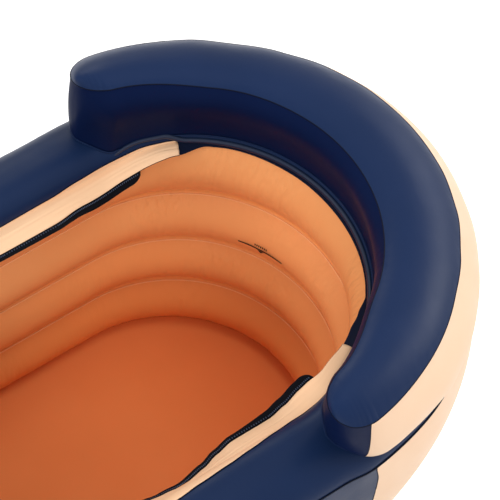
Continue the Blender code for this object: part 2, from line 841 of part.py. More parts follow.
def make_tape(name, side):
    _, _, outer, inner = flange_edges()
    stretch = HEAD_STRETCH_SHARE
    low, high = tape_height(), edge_height(True) - FLANGE_DROP
    line_side = [(outer, low), (inner, low)]
    line_tip = [(outer * stretch, high), (inner * stretch, high)]
    raised_side = [(width, height + TAPE_THICKNESS) for width, height in line_side]
    raised_tip = [(width, height + TAPE_THICKNESS) for width, height in line_tip]
    shape = Profile(line_side, line_tip, raised_side, raised_tip)
    sweep("zip_tape_" + name, shape, side_stations(side), False, BLACK, 0.55)


def cover_half_width():
    return flange_edges()[3] - GAP


def make_cover():
    """The zipped part of the cover over the foot, flat between the tapes."""
    width = cover_half_width()
    arc = [place((width, 0.0), (width, 0.0), s).xy[:] for s in foot_arc(0, FOOT_SEGMENTS)]
    outline = [(COVER_FRONT_X, width)] + arc + [(COVER_FRONT_X, -width)]
    low = tape_height()
    plate("cover_sheet", outline, low, low + SKIN, NAVY, 0.4)


def roll_line():
    """The roll's spiral seen from the side, from its foot on the cover inward, as angles and outer radii."""
    count = ROLL_HALF_TURNS * ROLL_SEGMENTS // 2
    line = []
    for k in range(count + 1):
        angle = 2 * math.pi * k / ROLL_SEGMENTS - math.pi / 2
        line.append((angle, ROLL_RADIUS - ROLL_PITCH * k / ROLL_SEGMENTS))
    return line


def least_gap(line, thickness):
    """The least gap of a winding to itself, between points at least half a turn apart."""
    points = [Vector((r * math.cos(angle), r * math.sin(angle))) for angle, r in line]
    gaps = []
    for index, point in enumerate(points):
        for other in points[index + ROLL_SEGMENTS // 2:]:
            gaps.append((other - point).length - thickness)
    return min(gaps)


def make_cover_roll():
    """The rest of the cover rolled up across the tub on the front of the zipped part."""
    centre_x = COVER_FRONT_X - ROLL_RADIUS
    centre_z = tape_height() + SKIN + GAP + ROLL_RADIUS
    half = cover_half_width() - ROLL_SIDE_MARGIN
    line = roll_line()
    print("cover_roll: least gap to itself %.4f m" % least_gap(line, SKIN))
    bm = bmesh.new()
    rows = []
    for angle, radius in line:
        row = []
        for r, y in ((radius, -half), (radius, half), (radius - SKIN, half), (radius - SKIN, -half)):
            row.append((centre_x + r * math.cos(angle), y, centre_z + r * math.sin(angle)))
        rows.append(row)
    join_loops(bm, add_rows(bm, rows))
    new_object("cover_roll", bm, NAVY, 0.4)


# Zip slider and pull

def slider_frame(side):
    """Middle of the tape's inner edge where the slider stands, just ahead of the closed part."""
    inner = flange_edges()[3]
    x = COVER_FRONT_X + GAP + SLIDER_LENGTH / 2
    return Vector((x, side * inner, tape_height() + TAPE_THICKNESS / 2))


def make_slider(name, side):
    """Two plates joined by a bridge beyond the tape's inner edge, with two lugs for the pull."""
    half = SLIDER_LENGTH / 2
    inner_z = TAPE_THICKNESS / 2 + GAP
    outer_z = inner_z + SLIDER_PLATE
    near, far = -GAP - SLIDER_BRIDGE, SLIDER_OVERLAP
    outline = [
        (near, -outer_z), (far, -outer_z), (far, -inner_z), (-GAP, -inner_z),
        (-GAP, inner_z), (far, inner_z), (far, outer_z), (near, outer_z),
    ]
    bm = bmesh.new()
    join_loops(bm, add_rows(bm, [[(x, side * y, z) for y, z in outline] for x in (-half, half)]))
    slider = new_object("zip_slider_" + name, bm, BLACK, 0.35, 0.5)
    slider.location = slider_frame(side)
    middle = side * (far + near) / 2
    for number, way in enumerate((-1, 1)):
        gap_edge = middle + way * (PULL_WIDTH / 2 + GAP)
        far_edge = gap_edge + way * LUG_WIDTH
        low = (-LUG_LENGTH / 2, min(gap_edge, far_edge), outer_z - SLIDER_PLATE / 2)
        high = (LUG_LENGTH / 2, max(gap_edge, far_edge), outer_z + LUG_HEIGHT)
        lug = box_object("lug_%s_%d" % (name, number), low, high)
        lug.location = slider.location
        combine(slider, lug, "UNION")
    return slider


def pull_axis(side):
    """The pull's hinge: between the lugs, clear of the top plate."""
    frame = slider_frame(side)
    top = TAPE_THICKNESS / 2 + GAP + SLIDER_PLATE
    far, near = SLIDER_OVERLAP, -GAP - SLIDER_BRIDGE
    return frame + Vector((0.0, side * (far + near) / 2, top + PULL_THICKNESS / 2 + GAP))


def make_pull(name, side):
    """A flat tab with a wider grip, round about its hinge, lying back over the closed part."""
    bm = bmesh.new()
    half = PULL_THICKNESS / 2
    add_box(bm, (-PULL_LENGTH, -PULL_WIDTH / 2, -half), (0.0, PULL_WIDTH / 2, half))
    pull = new_object("zip_pull_" + name, bm, BLACK, 0.4)
    pull.location = pull_axis(side)
    thin = half * PULL_GRIP_INSET_SHARE
    grip_start = -PULL_LENGTH + PULL_LENGTH * PULL_GRIP_SHARE
    grip_low = (-PULL_LENGTH - half, -PULL_GRIP_WIDTH / 2, -thin)
    grip_high = (grip_start, PULL_GRIP_WIDTH / 2, thin)
    grip = box_object("grip_" + name, grip_low, grip_high)
    grip.location = pull.location
    combine(pull, grip, "UNION")
    turn = Matrix.Translation(pull.location) @ Matrix.Rotation(math.pi / 2, 4, "X")
    reach = PULL_WIDTH / 2 * PULL_BARREL_SHARE
    barrel = rod("barrel_" + name, half * PULL_BARREL_SHARE, -reach, reach, turn)
    combine(pull, barrel, "UNION")
    return pull


# Air valves

def facet_middle(corners, inside_point):
    """The middle of a skin's facet and the direction out of it."""
    centre = sum(corners, Vector()) / len(corners)
    normal = (corners[2] - corners[0]).cross(corners[3] - corners[1]).normalized()
    return centre, normal if normal.dot(centre - inside_point) > 0 else -normal


def upright_frame(corners, inside_point):
    """A frame on a wall's facet: Z out of it, Y as near upright as it can be."""
    centre, facing = facet_middle(corners, inside_point)
    return frame_matrix(centre, facing, Vector((0.0, 0.0, 1.0)).cross(facing).normalized())


def frame_matrix(centre, normal, across):
    rows = Matrix((across, normal.cross(across), normal)).transposed().to_4x4()
    rows.translation = centre
    return rows


def lid_sizes(bore, flange, flange_thickness, lid, lid_thickness, plug_depth):
    return {
        "bore": bore, "flange": flange, "flange_thickness": flange_thickness,
        "lid": lid, "lid_thickness": lid_thickness, "plug_depth": plug_depth,
    }


def make_lid(name, frame, sizes, colour):
    """A plug with a round head and a strap, its origin on the hinge at the strap's end."""
    top = GAP + sizes["flange_thickness"]
    low = top + GAP
    high = low + sizes["lid_thickness"]
    plug = sizes["bore"] - 2 * GAP
    hinge = sizes["flange"] - HINGE_BARREL
    outline = [
        (0.0, top - sizes["plug_depth"]), (plug, top - sizes["plug_depth"]), (plug, low),
        (sizes["lid"], low), (sizes["lid"], high), (0.0, high),
    ]
    bm = turned(outline, False)
    bmesh.ops.translate(bm, verts=bm.verts, vec=(0.0, -hinge, -low - HINGE_BARREL))
    lid = new_object(name, bm, colour, 0.3)
    lid.matrix_world = frame @ Matrix.Translation((0.0, hinge, low + HINGE_BARREL))
    start = sizes["lid"] * STRAP_START_SHARE
    strap = box_object(
        name + "_strap",
        (-STRAP_WIDTH / 2, start - hinge, -STRAP_THICKNESS / 2),
        (STRAP_WIDTH / 2, 0.0, STRAP_THICKNESS / 2),
    )
    strap.matrix_world = lid.matrix_world
    combine(lid, strap, "UNION")
    turn = lid.matrix_world @ Matrix.Rotation(math.pi / 2, 4, "Y")
    half = STRAP_WIDTH / 2 * HINGE_BARREL_SHARE
    combine(lid, rod(name + "_barrel", HINGE_BARREL, -half, half, turn), "UNION")
    return lid


def make_valve(name, frame, skin):
    """A flanged valve seat through a skin, and its plug cap on a strap."""
    top = GAP + VALVE_FLANGE_THICKNESS
    outline = [
        (VALVE_BORE, -VALVE_DEPTH), (VALVE_TUBE, -VALVE_DEPTH), (VALVE_TUBE, GAP),
        (VALVE_FLANGE, GAP), (VALVE_FLANGE, top), (VALVE_BORE, top),
    ]
    seat = new_object(name + "_seat", turned(outline, True), CLEAR_GREY, 0.35)
    seat.matrix_world = frame
    sizes = lid_sizes(
        VALVE_BORE, VALVE_FLANGE, VALVE_FLANGE_THICKNESS, VALVE_CAP, VALVE_CAP_THICKNESS, VALVE_PLUG_DEPTH
    )
    make_lid(name + "_cap", frame, sizes, CLEAR_GREY)
    hole = rod(name + "_hole", VALVE_TUBE + GAP, -CUT_OVERRUN, CUT_OVERRUN, frame)
    combine(skin, hole, "DIFFERENCE")


def skin_facet(shape, stations, level):
    first, last = stations
    low_a = place(shape.side[level], shape.tip[level], first)
    low_b = place(shape.side[level], shape.tip[level], last)
    high_a = place(shape.side[level + 1], shape.tip[level + 1], first)
    high_b = place(shape.side[level + 1], shape.tip[level + 1], last)
    return [low_a, low_b, high_b, high_a]


def make_wall_valve(body):
    pair = (foot_station(WALL_VALVE_FACET), foot_station(WALL_VALVE_FACET + 1))
    corners = skin_facet(outer_wall_profile(), pair, WALL_VALVE_LEVEL)
    make_valve("wall_valve", upright_frame(corners, Vector((FOOT_X, 0.0, RIB_PITCH))), body)


def make_rim_valve(rim_top, shape):
    """On top of the rim near the foot, its strap pointing outward."""
    pair = (foot_station(RIM_VALVE_FACET), foot_station(RIM_VALVE_FACET + 1))
    corners = skin_facet(shape, pair, RIM_STEPS // 2)
    centre, facing = facet_middle(corners, Vector((FOOT_X, 0.0, 0.0)))
    across = Vector((centre.x - FOOT_X, centre.y, 0.0)).cross(facing).normalized()
    make_valve("rim_valve", frame_matrix(centre, facing, across), rim_top)


def make_backrest_valve(outer_wall, rim):
    """On the outer wall of the backrest, in the middle of a facet."""
    step = 180.0 / HEAD_SEGMENTS
    front = split_walls(rim)[0][0]
    index = len(front) - 2 - math.floor((BACKREST_VALVE_DEGREES + 90.0) / step)
    level = BACKREST_VALVE_LEVEL
    low, high = front[index], front[index + 1]
    corners = [low[level], high[level], high[level + 1], low[level + 1]]
    make_valve("backrest_valve", upright_frame(corners, Vector((HEAD_X, 0.0, SEAM_HEIGHT_HEAD))), outer_wall)


# Drain

def drain_frame():
    """At the middle of the foot, level, facing out along -X, with its origin on the wall's outer skin."""
    line = outer_wall_profile().side
    width = width_at(line, DRAIN_HEIGHT + DRAIN_FLANGE)
    reach = width * math.cos(math.pi / FOOT_SEGMENTS / 2)
    facing = Vector((-1.0, 0.0, 0.0))
    across = Vector((0.0, 0.0, 1.0)).cross(facing)
    return frame_matrix(Vector((FOOT_X - reach, 0.0, DRAIN_HEIGHT)), facing, across)


def drain_length():
    """From the wall's outer skin to the face of the lowest rib."""
    outer = width_at(outer_wall_profile().side, DRAIN_HEIGHT + DRAIN_FLANGE)
    inner = min(width for width, height in inner_wall_profile().side[:RIB_STEPS])
    return (outer - inner) * math.cos(math.pi / FOOT_SEGMENTS / 2)


def make_drain(inner_wall, outer_wall):
    frame = drain_frame()
    length = drain_length()
    top = GAP + DRAIN_FLANGE_THICKNESS
    bottom = -length - GAP
    outline = [
        (DRAIN_BORE, bottom - DRAIN_FLANGE_THICKNESS), (DRAIN_FLANGE, bottom - DRAIN_FLANGE_THICKNESS),
        (DRAIN_FLANGE, bottom), (DRAIN_PIPE, bottom), (DRAIN_PIPE, GAP), (DRAIN_FLANGE, GAP),
        (DRAIN_FLANGE, top), (DRAIN_BORE, top),
    ]
    pipe = new_object("drain_pipe", turned(outline, True), CLEAR_GREY, 0.35)
    pipe.matrix_world = frame
    sizes = lid_sizes(
        DRAIN_BORE, DRAIN_FLANGE, DRAIN_FLANGE_THICKNESS, DRAIN_CAP, DRAIN_CAP_THICKNESS, DRAIN_CAP_PLUG_DEPTH
    )
    make_lid("drain_cap", frame, sizes, CLEAR_GREY)
    face = bottom - DRAIN_FLANGE_THICKNESS
    plug = DRAIN_BORE - GAP
    low = face - GAP - DRAIN_STOPPER_THICKNESS
    outline = [
        (0.0, low), (DRAIN_STOPPER_HEAD, low), (DRAIN_STOPPER_HEAD, face - GAP),
        (plug, face - GAP), (plug, face + DRAIN_STOPPER_DEPTH), (0.0, face + DRAIN_STOPPER_DEPTH),
    ]
    stopper = new_object("drain_stopper", turned(outline, False), CLEAR_GREY, 0.35)
    stopper.matrix_world = frame
    reach = DRAIN_FLANGE
    outer_cut = rod("drain_outer_hole", DRAIN_PIPE + GAP, -reach, reach, frame)
    combine(outer_wall, outer_cut, "DIFFERENCE")
    inner_cut = rod("drain_inner_hole", DRAIN_PIPE + GAP, -length - reach, -length + reach, frame)
    combine(inner_wall, inner_cut, "DIFFERENCE")


def main():
    clear_scene()
    make_floor()
    inner_wall = make_inner_wall()
    body = make_outer_walls()
    make_webs()
    rim_top = make_rim_top()
    make_rim_bottom()
    make_piping()
    rim = rim_top_profile()
    make_backrest_base(rim)
    make_backrest_top()
    backrest_wall = make_backrest_walls(rim)
    for name, side in (("left", 1), ("right", -1)):
        make_flange(name, side)
        make_tape(name, side)
        make_slider(name, side)
        make_pull(name, side)
    make_cover()
    make_cover_roll()
    make_wall_valve(body)
    make_rim_valve(rim_top, rim)
    make_backrest_valve(backrest_wall, rim)
    make_drain(inner_wall, body)


main()
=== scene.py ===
"""Looks of the inflatable bathtub: smooth inflated skins, soft flanges, zipper, cover, light and camera."""

import math
from typing import NamedTuple

import bmesh
import bpy
from mathutils import Matrix, Vector, noise


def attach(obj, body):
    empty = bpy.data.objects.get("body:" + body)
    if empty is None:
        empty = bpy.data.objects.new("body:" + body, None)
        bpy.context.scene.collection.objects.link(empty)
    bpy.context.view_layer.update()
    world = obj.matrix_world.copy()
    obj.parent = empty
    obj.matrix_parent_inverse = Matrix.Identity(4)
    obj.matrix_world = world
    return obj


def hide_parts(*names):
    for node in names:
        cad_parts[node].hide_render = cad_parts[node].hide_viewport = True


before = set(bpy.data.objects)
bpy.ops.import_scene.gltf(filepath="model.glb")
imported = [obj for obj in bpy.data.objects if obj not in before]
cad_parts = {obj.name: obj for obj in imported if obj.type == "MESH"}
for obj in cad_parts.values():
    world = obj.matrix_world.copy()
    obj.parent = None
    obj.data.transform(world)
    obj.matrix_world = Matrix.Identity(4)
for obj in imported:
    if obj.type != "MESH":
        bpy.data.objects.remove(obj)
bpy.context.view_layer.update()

# Plan and heights, as in the CAD. The centre line runs from FOOT_X to HEAD_X, and widths count from it
HEAD_X = 0.340
FOOT_X = -0.4157
OUTER = 0.386
HEAD_REACH = 0.460
STRETCH = 1.024  # the opening's reach at the head's tip, as a share of its half width
WELD = 0.261
SEAM = 0.380
BASE = 0.340
PITCH = 0.112
RIB_DEPTH = 0.024
CREASES = [0.235, 0.24306, 0.24852, 0.26204, 0.261]

# Heights along the sides, and at the head's tip
BOTTOM = 0.0011
WELD_SIDE, WELD_HEAD = 0.439, 0.470
OUTER_TOP, OUTER_TOP_HEAD = 0.4205, 0.4305
RIM_IN, RIM_IN_HEAD = 0.442, 0.473
RIM_OUT, RIM_OUT_HEAD = 0.423, 0.433


# Small sums

def mix(a, b, t):
    return a + (b - a) * t


def smooth(t):
    t = min(1.0, max(0.0, t))
    return t * t * (3.0 - 2.0 * t)


def bump(x, width):
    return math.exp(-(x / width) ** 2)


def rough(point, scale, seed=0.0):
    """Smooth noise from -1 to 1."""
    return noise.noise(Vector(point) * scale + Vector((seed, 2.3 * seed, 1.7 * seed)))


def folds(x, y, scale, seed=0.0):
    """Narrow upright pleats that depend on the plan alone, from 0 to 1."""
    value = noise.noise(Vector((x * scale + seed, y * scale, seed)))
    second = noise.noise(Vector((x * scale * 2.7, y * scale * 2.7 + seed, 3.1)))
    return max(0.0, 1.0 - 2.6 * abs(value)) * (0.6 + 0.4 * second)


def table_value(x, table):
    """A value read from (x, value) pairs, smoothly joined."""
    if x <= table[0][0]:
        return table[0][1]
    for (xa, a), (xb, b) in zip(table, table[1:]):
        if x <= xb:
            return mix(a, b, smooth((x - xa) / (xb - xa)))
    return table[-1][1]


class Station(NamedTuple):
    """A place on the ring: its point of the centre line, the way out, and the head's two shares."""

    x0: float
    along: float
    across: float
    spread: float
    lift: float


def head_station(angle):
    """A station on the head's arc, by its angle from the tip."""
    along = max(0.0, math.cos(angle))
    return Station(HEAD_X, along, math.sin(angle), 1 - (1 - along) ** 2, smooth(along / 0.5))


def station(u):
    """-1 to 1 is the head from right to left, 1 to 2 the left side, 2 to 4 the foot, 4 to 5 the right."""
    if u <= 1.0:
        return head_station(u * math.pi / 2)
    if u <= 2.0:
        return Station(mix(HEAD_X, FOOT_X, u - 1.0), 0.0, 1.0, 0.0, 0.0)
    if u <= 4.0:
        angle = (u - 1.0) * math.pi / 2
        return Station(FOOT_X, math.cos(angle), math.sin(angle), 0.0, 0.0)
    return Station(mix(FOOT_X, HEAD_X, u - 4.0), 0.0, -1.0, 0.0, 0.0)


def place(w, z, w_tip, z_tip, s):
    """A point at a station, from its width and height along the sides and at the head's tip."""
    w -= 0.042 * max(0.0, w - WELD) * smooth((s.across - 0.75) / 0.25)
    return Vector((s.x0 + w * s.along + (w_tip - w) * s.spread, w * s.across, mix(z, z_tip, s.lift)))


def steps(start, stop, count):
    return [mix(start, stop, k / count) for k in range(count + 1)]


def eased(count):
    """Shares from 0 to 1 that lie closer together at both ends."""
    return [(1 - math.cos(math.pi * k / count)) / 2 for k in range(count + 1)]


STRAIGHT_STEPS, ROUND_STEPS = 56, 64


def span(start, stop, fine=1.0):
    """Places on the ring from one to another, for station(), about evenly spaced."""
    marks = [start] + [m for m in (-1.0, 1.0, 2.0, 4.0, 5.0) if start < m < stop] + [stop]
    found = []
    for a, b in zip(marks, marks[1:]):
        straight = 1.0 <= a < 2.0 or a >= 4.0
        count = max(1, round((b - a) * (STRAIGHT_STEPS if straight else ROUND_STEPS) * fine))
        found += steps(a, b, count)[:-1]
    return found + [stop]


def turned(s):
    """Degrees round the head, from -90 at its right end to 90 at its left."""
    return math.degrees(math.atan2(s.across, s.along))


def tip_reach(w):
    """How far out an outer width reaches at the head's tip."""
    inner = WELD * STRETCH
    return inner + (w - WELD) * (HEAD_REACH - inner) / (OUTER - WELD)


# Meshes

def new_piece(name, bm, material, nodes=()):
    """A visible piece on the tub and the CAD nodes that it stands for."""
    bmesh.ops.remove_doubles(bm, verts=bm.verts, dist=1e-6)
    bmesh.ops.recalc_face_normals(bm, faces=bm.faces)
    mesh = bpy.data.meshes.new(name)
    bm.to_mesh(mesh)
    bm.free()
    mesh.shade_smooth()
    mesh.materials.append(material)
    piece = bpy.data.objects.new(name, mesh)
    bpy.context.scene.collection.objects.link(piece)
    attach(piece, "tub")
    if nodes:
        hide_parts(*nodes)
    return piece


def grid(bm, rows, ring=False, loop=False):
    """Quads between rows of points. ring joins the last row to the first, loop closes each row."""
    verts = [[bm.verts.new(p) for p in row] for row in rows]
    count = len(verts) if ring else len(verts) - 1
    for i in range(count):
        a, b = verts[i], verts[(i + 1) % len(verts)]
        across = len(a) if loop else len(a) - 1
        for k in range(across):
            n = (k + 1) % len(a)
            bm.faces.new((a[k], a[n], b[n], b[k]))
    return verts


def tube(bm, points, radius, sides=8, closed=False):
    """A round bead along points, with flat ends. radius is a number, or one for each point."""
    rows = []
    count = len(points)
    radii = radius if isinstance(radius, list) else [radius] * count
    for i, p in enumerate(points):
        before = points[i - 1] if i or closed else p
        after = points[(i + 1) % count] if i < count - 1 or closed else p
        way = (after - before).normalized()
        side = way.cross(Vector((0, 0, 1))).normalized()
        up = side.cross(way)
        row = []
        for k in range(sides):
            angle = 2 * math.pi * k / sides
            row.append(p + (side * math.cos(angle) + up * math.sin(angle)) * radii[i])
        rows.append(row)
    verts = grid(bm, rows, ring=closed, loop=True)
    if not closed:
        bm.faces.new(verts[0])
        bm.faces.new(verts[-1])


def thicken(piece, thickness):
    modifier = piece.modifiers.new("film", "SOLIDIFY")
    modifier.thickness = thickness
    modifier.offset = 0.0


# Materials

def nodes_of(name):
    material = bpy.data.materials.new(name)
    material.use_nodes = True
    tree = material.node_tree
    return material, tree, tree.nodes["Principled BSDF"]


def add(tree, kind, **values):
    node = tree.nodes.new(kind)
    for key, value in values.items():
        setattr(node, key, value)
    return node


def noise_node(tree, source, scale, detail=2.0):
    node = add(tree, "ShaderNodeTexNoise")
    node.inputs["Scale"].default_value = scale
    node.inputs["Detail"].default_value = detail
    tree.links.new(source, node.inputs["Vector"])
    return node.outputs["Fac"]


def ranged(tree, value, low, high, start=0.3, stop=0.7):
    node = add(tree, "ShaderNodeMapRange")
    for name, number in (("From Min", start), ("From Max", stop), ("To Min", low), ("To Max", high)):
        node.inputs[name].default_value = number
    tree.links.new(value, node.inputs["Value"])
    return node.outputs["Result"]


def tinted(tree, a, b, factor):
    node = add(tree, "ShaderNodeMix", data_type="RGBA")
    node.inputs["A"].default_value = (*a, 1.0)
    node.inputs["B"].default_value = (*b, 1.0)
    tree.links.new(factor, node.inputs["Factor"])
    return node.outputs["Result"]


def joined(tree, operation, a, b):
    node = add(tree, "ShaderNodeMath", operation=operation)
    tree.links.new(a, node.inputs[0])
    tree.links.new(b, node.inputs[1])
    return node.outputs["Value"]


def bumped(tree, heights):
    """Bump from (height, strength, distance) layers, chained."""
    last = None
    for height, strength, distance in heights:
        node = add(tree, "ShaderNodeBump")
        node.inputs["Strength"].default_value = strength
        node.inputs["Distance"].default_value = distance
        tree.links.new(height, node.inputs["Height"])
        if last:
            tree.links.new(last, node.inputs["Normal"])
        last = node.outputs["Normal"]
    return last


def streaks(tree, place_node):
    """Fine upright wrinkles in patches, as heights."""
    mapping = add(tree, "ShaderNodeMapping")
    mapping.inputs["Scale"].default_value = (105.0, 105.0, 5.0)
    tree.links.new(place_node, mapping.inputs["Vector"])
    lines = noise_node(tree, mapping.outputs["Vector"], 1.0, 1.0)
    patch = ranged(tree, noise_node(tree, place_node, 7.0, 1.0), 0.0, 1.0, 0.42, 0.62)
    return joined(tree, "MULTIPLY", lines, patch)


def film(name, colour, deep, roughness, grain=0.12, dimple=0.25, specular=0.4, coat=0.0, wrinkles_and_painted_shade=False):
    """Plastic film: faint cloudy colour, fine embossed grain, soft dimples, rubbed patches in its gloss."""
    material, tree, shader = nodes_of(name)
    place_node = add(tree, "ShaderNodeTexCoord").outputs["Object"]
    cloud = noise_node(tree, place_node, 5.0, 3.0)
    colour_out = tinted(tree, deep, colour, ranged(tree, cloud, 0.0, 1.0, 0.25, 0.75))
    # Painted shade on the inner wall: the colour darkens along the rib creases and toward the floor
    if wrinkles_and_painted_shade:
        colour_out = painted_crease_shade(tree, place_node, colour_out, deep)
    tree.links.new(colour_out, shader.inputs["Base Color"])
    rub = noise_node(tree, place_node, 14.0, 4.0)
    tree.links.new(ranged(tree, rub, roughness - 0.05, roughness + 0.07), shader.inputs["Roughness"])
    shader.inputs["Specular IOR Level"].default_value = specular
    shader.inputs["Coat Weight"].default_value = coat
    shader.inputs["Coat Roughness"].default_value = 0.35
    fine = noise_node(tree, place_node, 1400.0, 2.0)
    soft = noise_node(tree, place_node, 42.0, 2.0)
    layers = [(soft, dimple, 0.0012), (fine, grain, 0.00025)]
    if wrinkles_and_painted_shade:
        layers.append((streaks(tree, place_node), 0.8, 0.0045))
    tree.links.new(bumped(tree, layers), shader.inputs["Normal"])
    return material


def painted_crease_shade(tree, place_node, colour_out, deep):
    """Painted shade: a darker, more saturated colour toward the floor and along each weld line between ribs.
    """
    split = add(tree, "ShaderNodeSeparateXYZ")
    tree.links.new(place_node, split.inputs["Vector"])
    wave = add(tree, "ShaderNodeMath", operation="PINGPONG")
    tree.links.new(split.outputs["Z"], wave.inputs[0])
    wave.inputs[1].default_value = PITCH / 2
    # Masks of the painted shade: a narrow band at each crease below the top weld, and a darkening that grows
    # toward the floor
    near = ranged(tree, wave.outputs["Value"], 0.6, 0.0, 0.0005, 0.0030)
    below = ranged(tree, split.outputs["Z"], 1.0, 0.0, 0.40, 0.41)
    depth = ranged(tree, split.outputs["Z"], 0.85, 0.0, 0.0, 0.30)
    most = joined(tree, "MAXIMUM", joined(tree, "MULTIPLY", near, below), depth)
    node = add(tree, "ShaderNodeMix", data_type="RGBA")
    node.inputs["B"].default_value = (deep[0] * 0.96, deep[1] * 0.76, deep[2] * 0.50, 1.0)
    tree.links.new(most, node.inputs["Factor"])
    tree.links.new(colour_out, node.inputs["A"])
    return node.outputs["Result"]


def woven(name, colour, deep, roughness):
    """Woven zipper tape: a fine rib across and along."""
    material, tree, shader = nodes_of(name)
    place_node = add(tree, "ShaderNodeTexCoord").outputs["Object"]
    weave = add(tree, "ShaderNodeTexWave", wave_type="BANDS", bands_direction="DIAGONAL")
    weave.inputs["Scale"].default_value = 260.0
    weave.inputs["Distortion"].default_value = 1.5
    tree.links.new(place_node, weave.inputs["Vector"])
    tree.links.new(tinted(tree, deep, colour, weave.outputs["Fac"]), shader.inputs["Base Color"])
    shader.inputs["Roughness"].default_value = roughness
    shader.inputs["Specular IOR Level"].default_value = 0.12
    fine = noise_node(tree, place_node, 900.0, 2.0)
    layers = [(weave.outputs["Fac"], 0.4, 0.0004), (fine, 0.3, 0.0003)]
    tree.links.new(bumped(tree, layers), shader.inputs["Normal"])
    return material


def hard(name, colour, deep, roughness, metallic=0.0):
    """Moulded plastic or cast metal with small scuffs."""
    material, tree, shader = nodes_of(name)
    place_node = add(tree, "ShaderNodeTexCoord").outputs["Object"]
    cloud = noise_node(tree, place_node, 90.0, 4.0)
    tree.links.new(tinted(tree, deep, colour, cloud), shader.inputs["Base Color"])
    tree.links.new(ranged(tree, cloud, roughness - 0.06, roughness + 0.1), shader.inputs["Roughness"])
    shader.inputs["Metallic"].default_value = metallic
    scuff = noise_node(tree, place_node, 600.0, 3.0)
    tree.links.new(bumped(tree, [(scuff, 0.15, 0.0003)]), shader.inputs["Normal"])
    return material


# Each film has its colour and a deeper one that clouds it
NAVY = film("navy_film", (0.0070, 0.0190, 0.0620), (0.0055, 0.0155, 0.0520), 0.38, specular=0.13)
# The backrest cushion's navy comes in lit and shaded copies of one film: a lighter one on its top, painted
# light
NAVY_TOP_LIT = film("navy_top_painted_light", (0.0085, 0.0215, 0.0700), (0.0065, 0.0180, 0.0600), 0.38, specular=0.13)
# A darker, duller copy of the cushion's navy for its inner and end walls: painted shade
NAVY_WALL_SHADED = film("navy_wall_painted_shade", (0.0040, 0.0100, 0.0440), (0.0030, 0.0078, 0.0360), 0.44, specular=0.03)
NAVY_BEAD = film(
    "navy_bead", (0.0100, 0.0190, 0.0480), (0.0080, 0.0150, 0.0380), 0.36,
    grain=0.03, specular=0.35, coat=0.05,
)
# Near-black navy for the lip under the piping: painted shade of the gap there
LIP_SHADE_FILM = film("navy_lip_painted_shade", (0.0020, 0.0050, 0.0190), (0.0016, 0.0040, 0.0150), 0.40, specular=0.06)
SEAM_LINE = film("navy_seam", (0.0020, 0.0035, 0.0120), (0.0015, 0.0025, 0.0090), 0.55, specular=0.15)
PEACH = film("peach_film", (0.920, 0.630, 0.418), (0.890, 0.600, 0.394), 0.42, specular=0.20)
FLANGE = film("flange_sheet", (0.870, 0.560, 0.345), (0.820, 0.505, 0.300), 0.50, specular=0.2)
# The inner wall's orange, with painted shade at its creases and toward the floor
ORANGE = film(
    "orange_film", (0.880, 0.375, 0.140), (0.855, 0.345, 0.122), 0.42, specular=0.22, wrinkles_and_painted_shade=True
)
# A lighter orange for the thin weld beads under the creases: painted highlight on each rib's top edge
ORANGE_HIGHLIGHT_BEAD = film("orange_bead_painted_highlight", (0.950, 0.500, 0.240), (0.930, 0.470, 0.210), 0.30, grain=0.03)
# The floor's own orange, made deeper and more saturated than the wall's: painted shade of the tub's bottom
FLOOR_SHADED_FILM = film("floor_film_painted_shade", (0.850, 0.270, 0.084), (0.810, 0.244, 0.072), 0.50, specular=0.15)
TAPE = woven("zip_tape", (0.0040, 0.0042, 0.0070), (0.0018, 0.0018, 0.0030), 0.8)
TOOTH = hard("zip_teeth", (0.070, 0.090, 0.150), (0.030, 0.040, 0.075), 0.35, metallic=0.5)
HARDWARE = hard("zip_hardware", (0.030, 0.032, 0.040), (0.018, 0.018, 0.022), 0.32, metallic=0.5)
PLASTIC = hard("valve_plastic", (0.72, 0.74, 0.75), (0.64, 0.66, 0.68), 0.25)
MARK = hard("mark_ink", (0.012, 0.004, 0.005), (0.008, 0.003, 0.003), 0.7)
CLEAR = film("inner_film", (0.70, 0.71, 0.72), (0.66, 0.67, 0.68), 0.4)


# Inner wall and floor

RIBS = 4
RIB_STEPS = 16
WEBS = (1, 2, 3)


def rib_point(level, inset=0.0):
    """A point of the inner wall. level counts ribs from the floor, so 2.5 is the middle of the third."""
    low = min(RIBS - 1, int(level))
    part = level - low
    bulge = RIB_DEPTH * math.sin(math.pi * part) + inset
    w = mix(CREASES[low], CREASES[low + 1], part)
    z_low = PITCH * low if low else BOTTOM
    top_rib = low == RIBS - 1
    z = mix(z_low, WELD_SIDE if top_rib else PITCH * (low + 1), part)
    z_tip = mix(z_low, WELD_HEAD if top_rib else PITCH * (low + 1), part)
    return w - bulge, z, w * STRETCH - bulge, z_tip


def wall_pleats(p, part, low, s):
    """Upright pleats that fan from the welds, most where the wall curves."""
    curve = 0.35 + 0.65 * smooth(abs(s.along) * 3.0) if s.x0 > 0 else 0.5
    from_low = math.exp(-part / 0.30) * smooth(part / 0.06)
    from_top = math.exp(-(1 - part) / 0.16) * smooth((1 - part) / 0.05)
    a = folds(p.x, p.y, 62.0, 5.0 + low) * from_low + folds(p.x, p.y, 80.0, 9.0 + low) * from_top * 0.5
    return 0.0046 * curve * a + 0.0006 * rough(p, 24.0, low) * math.sin(math.pi * part)


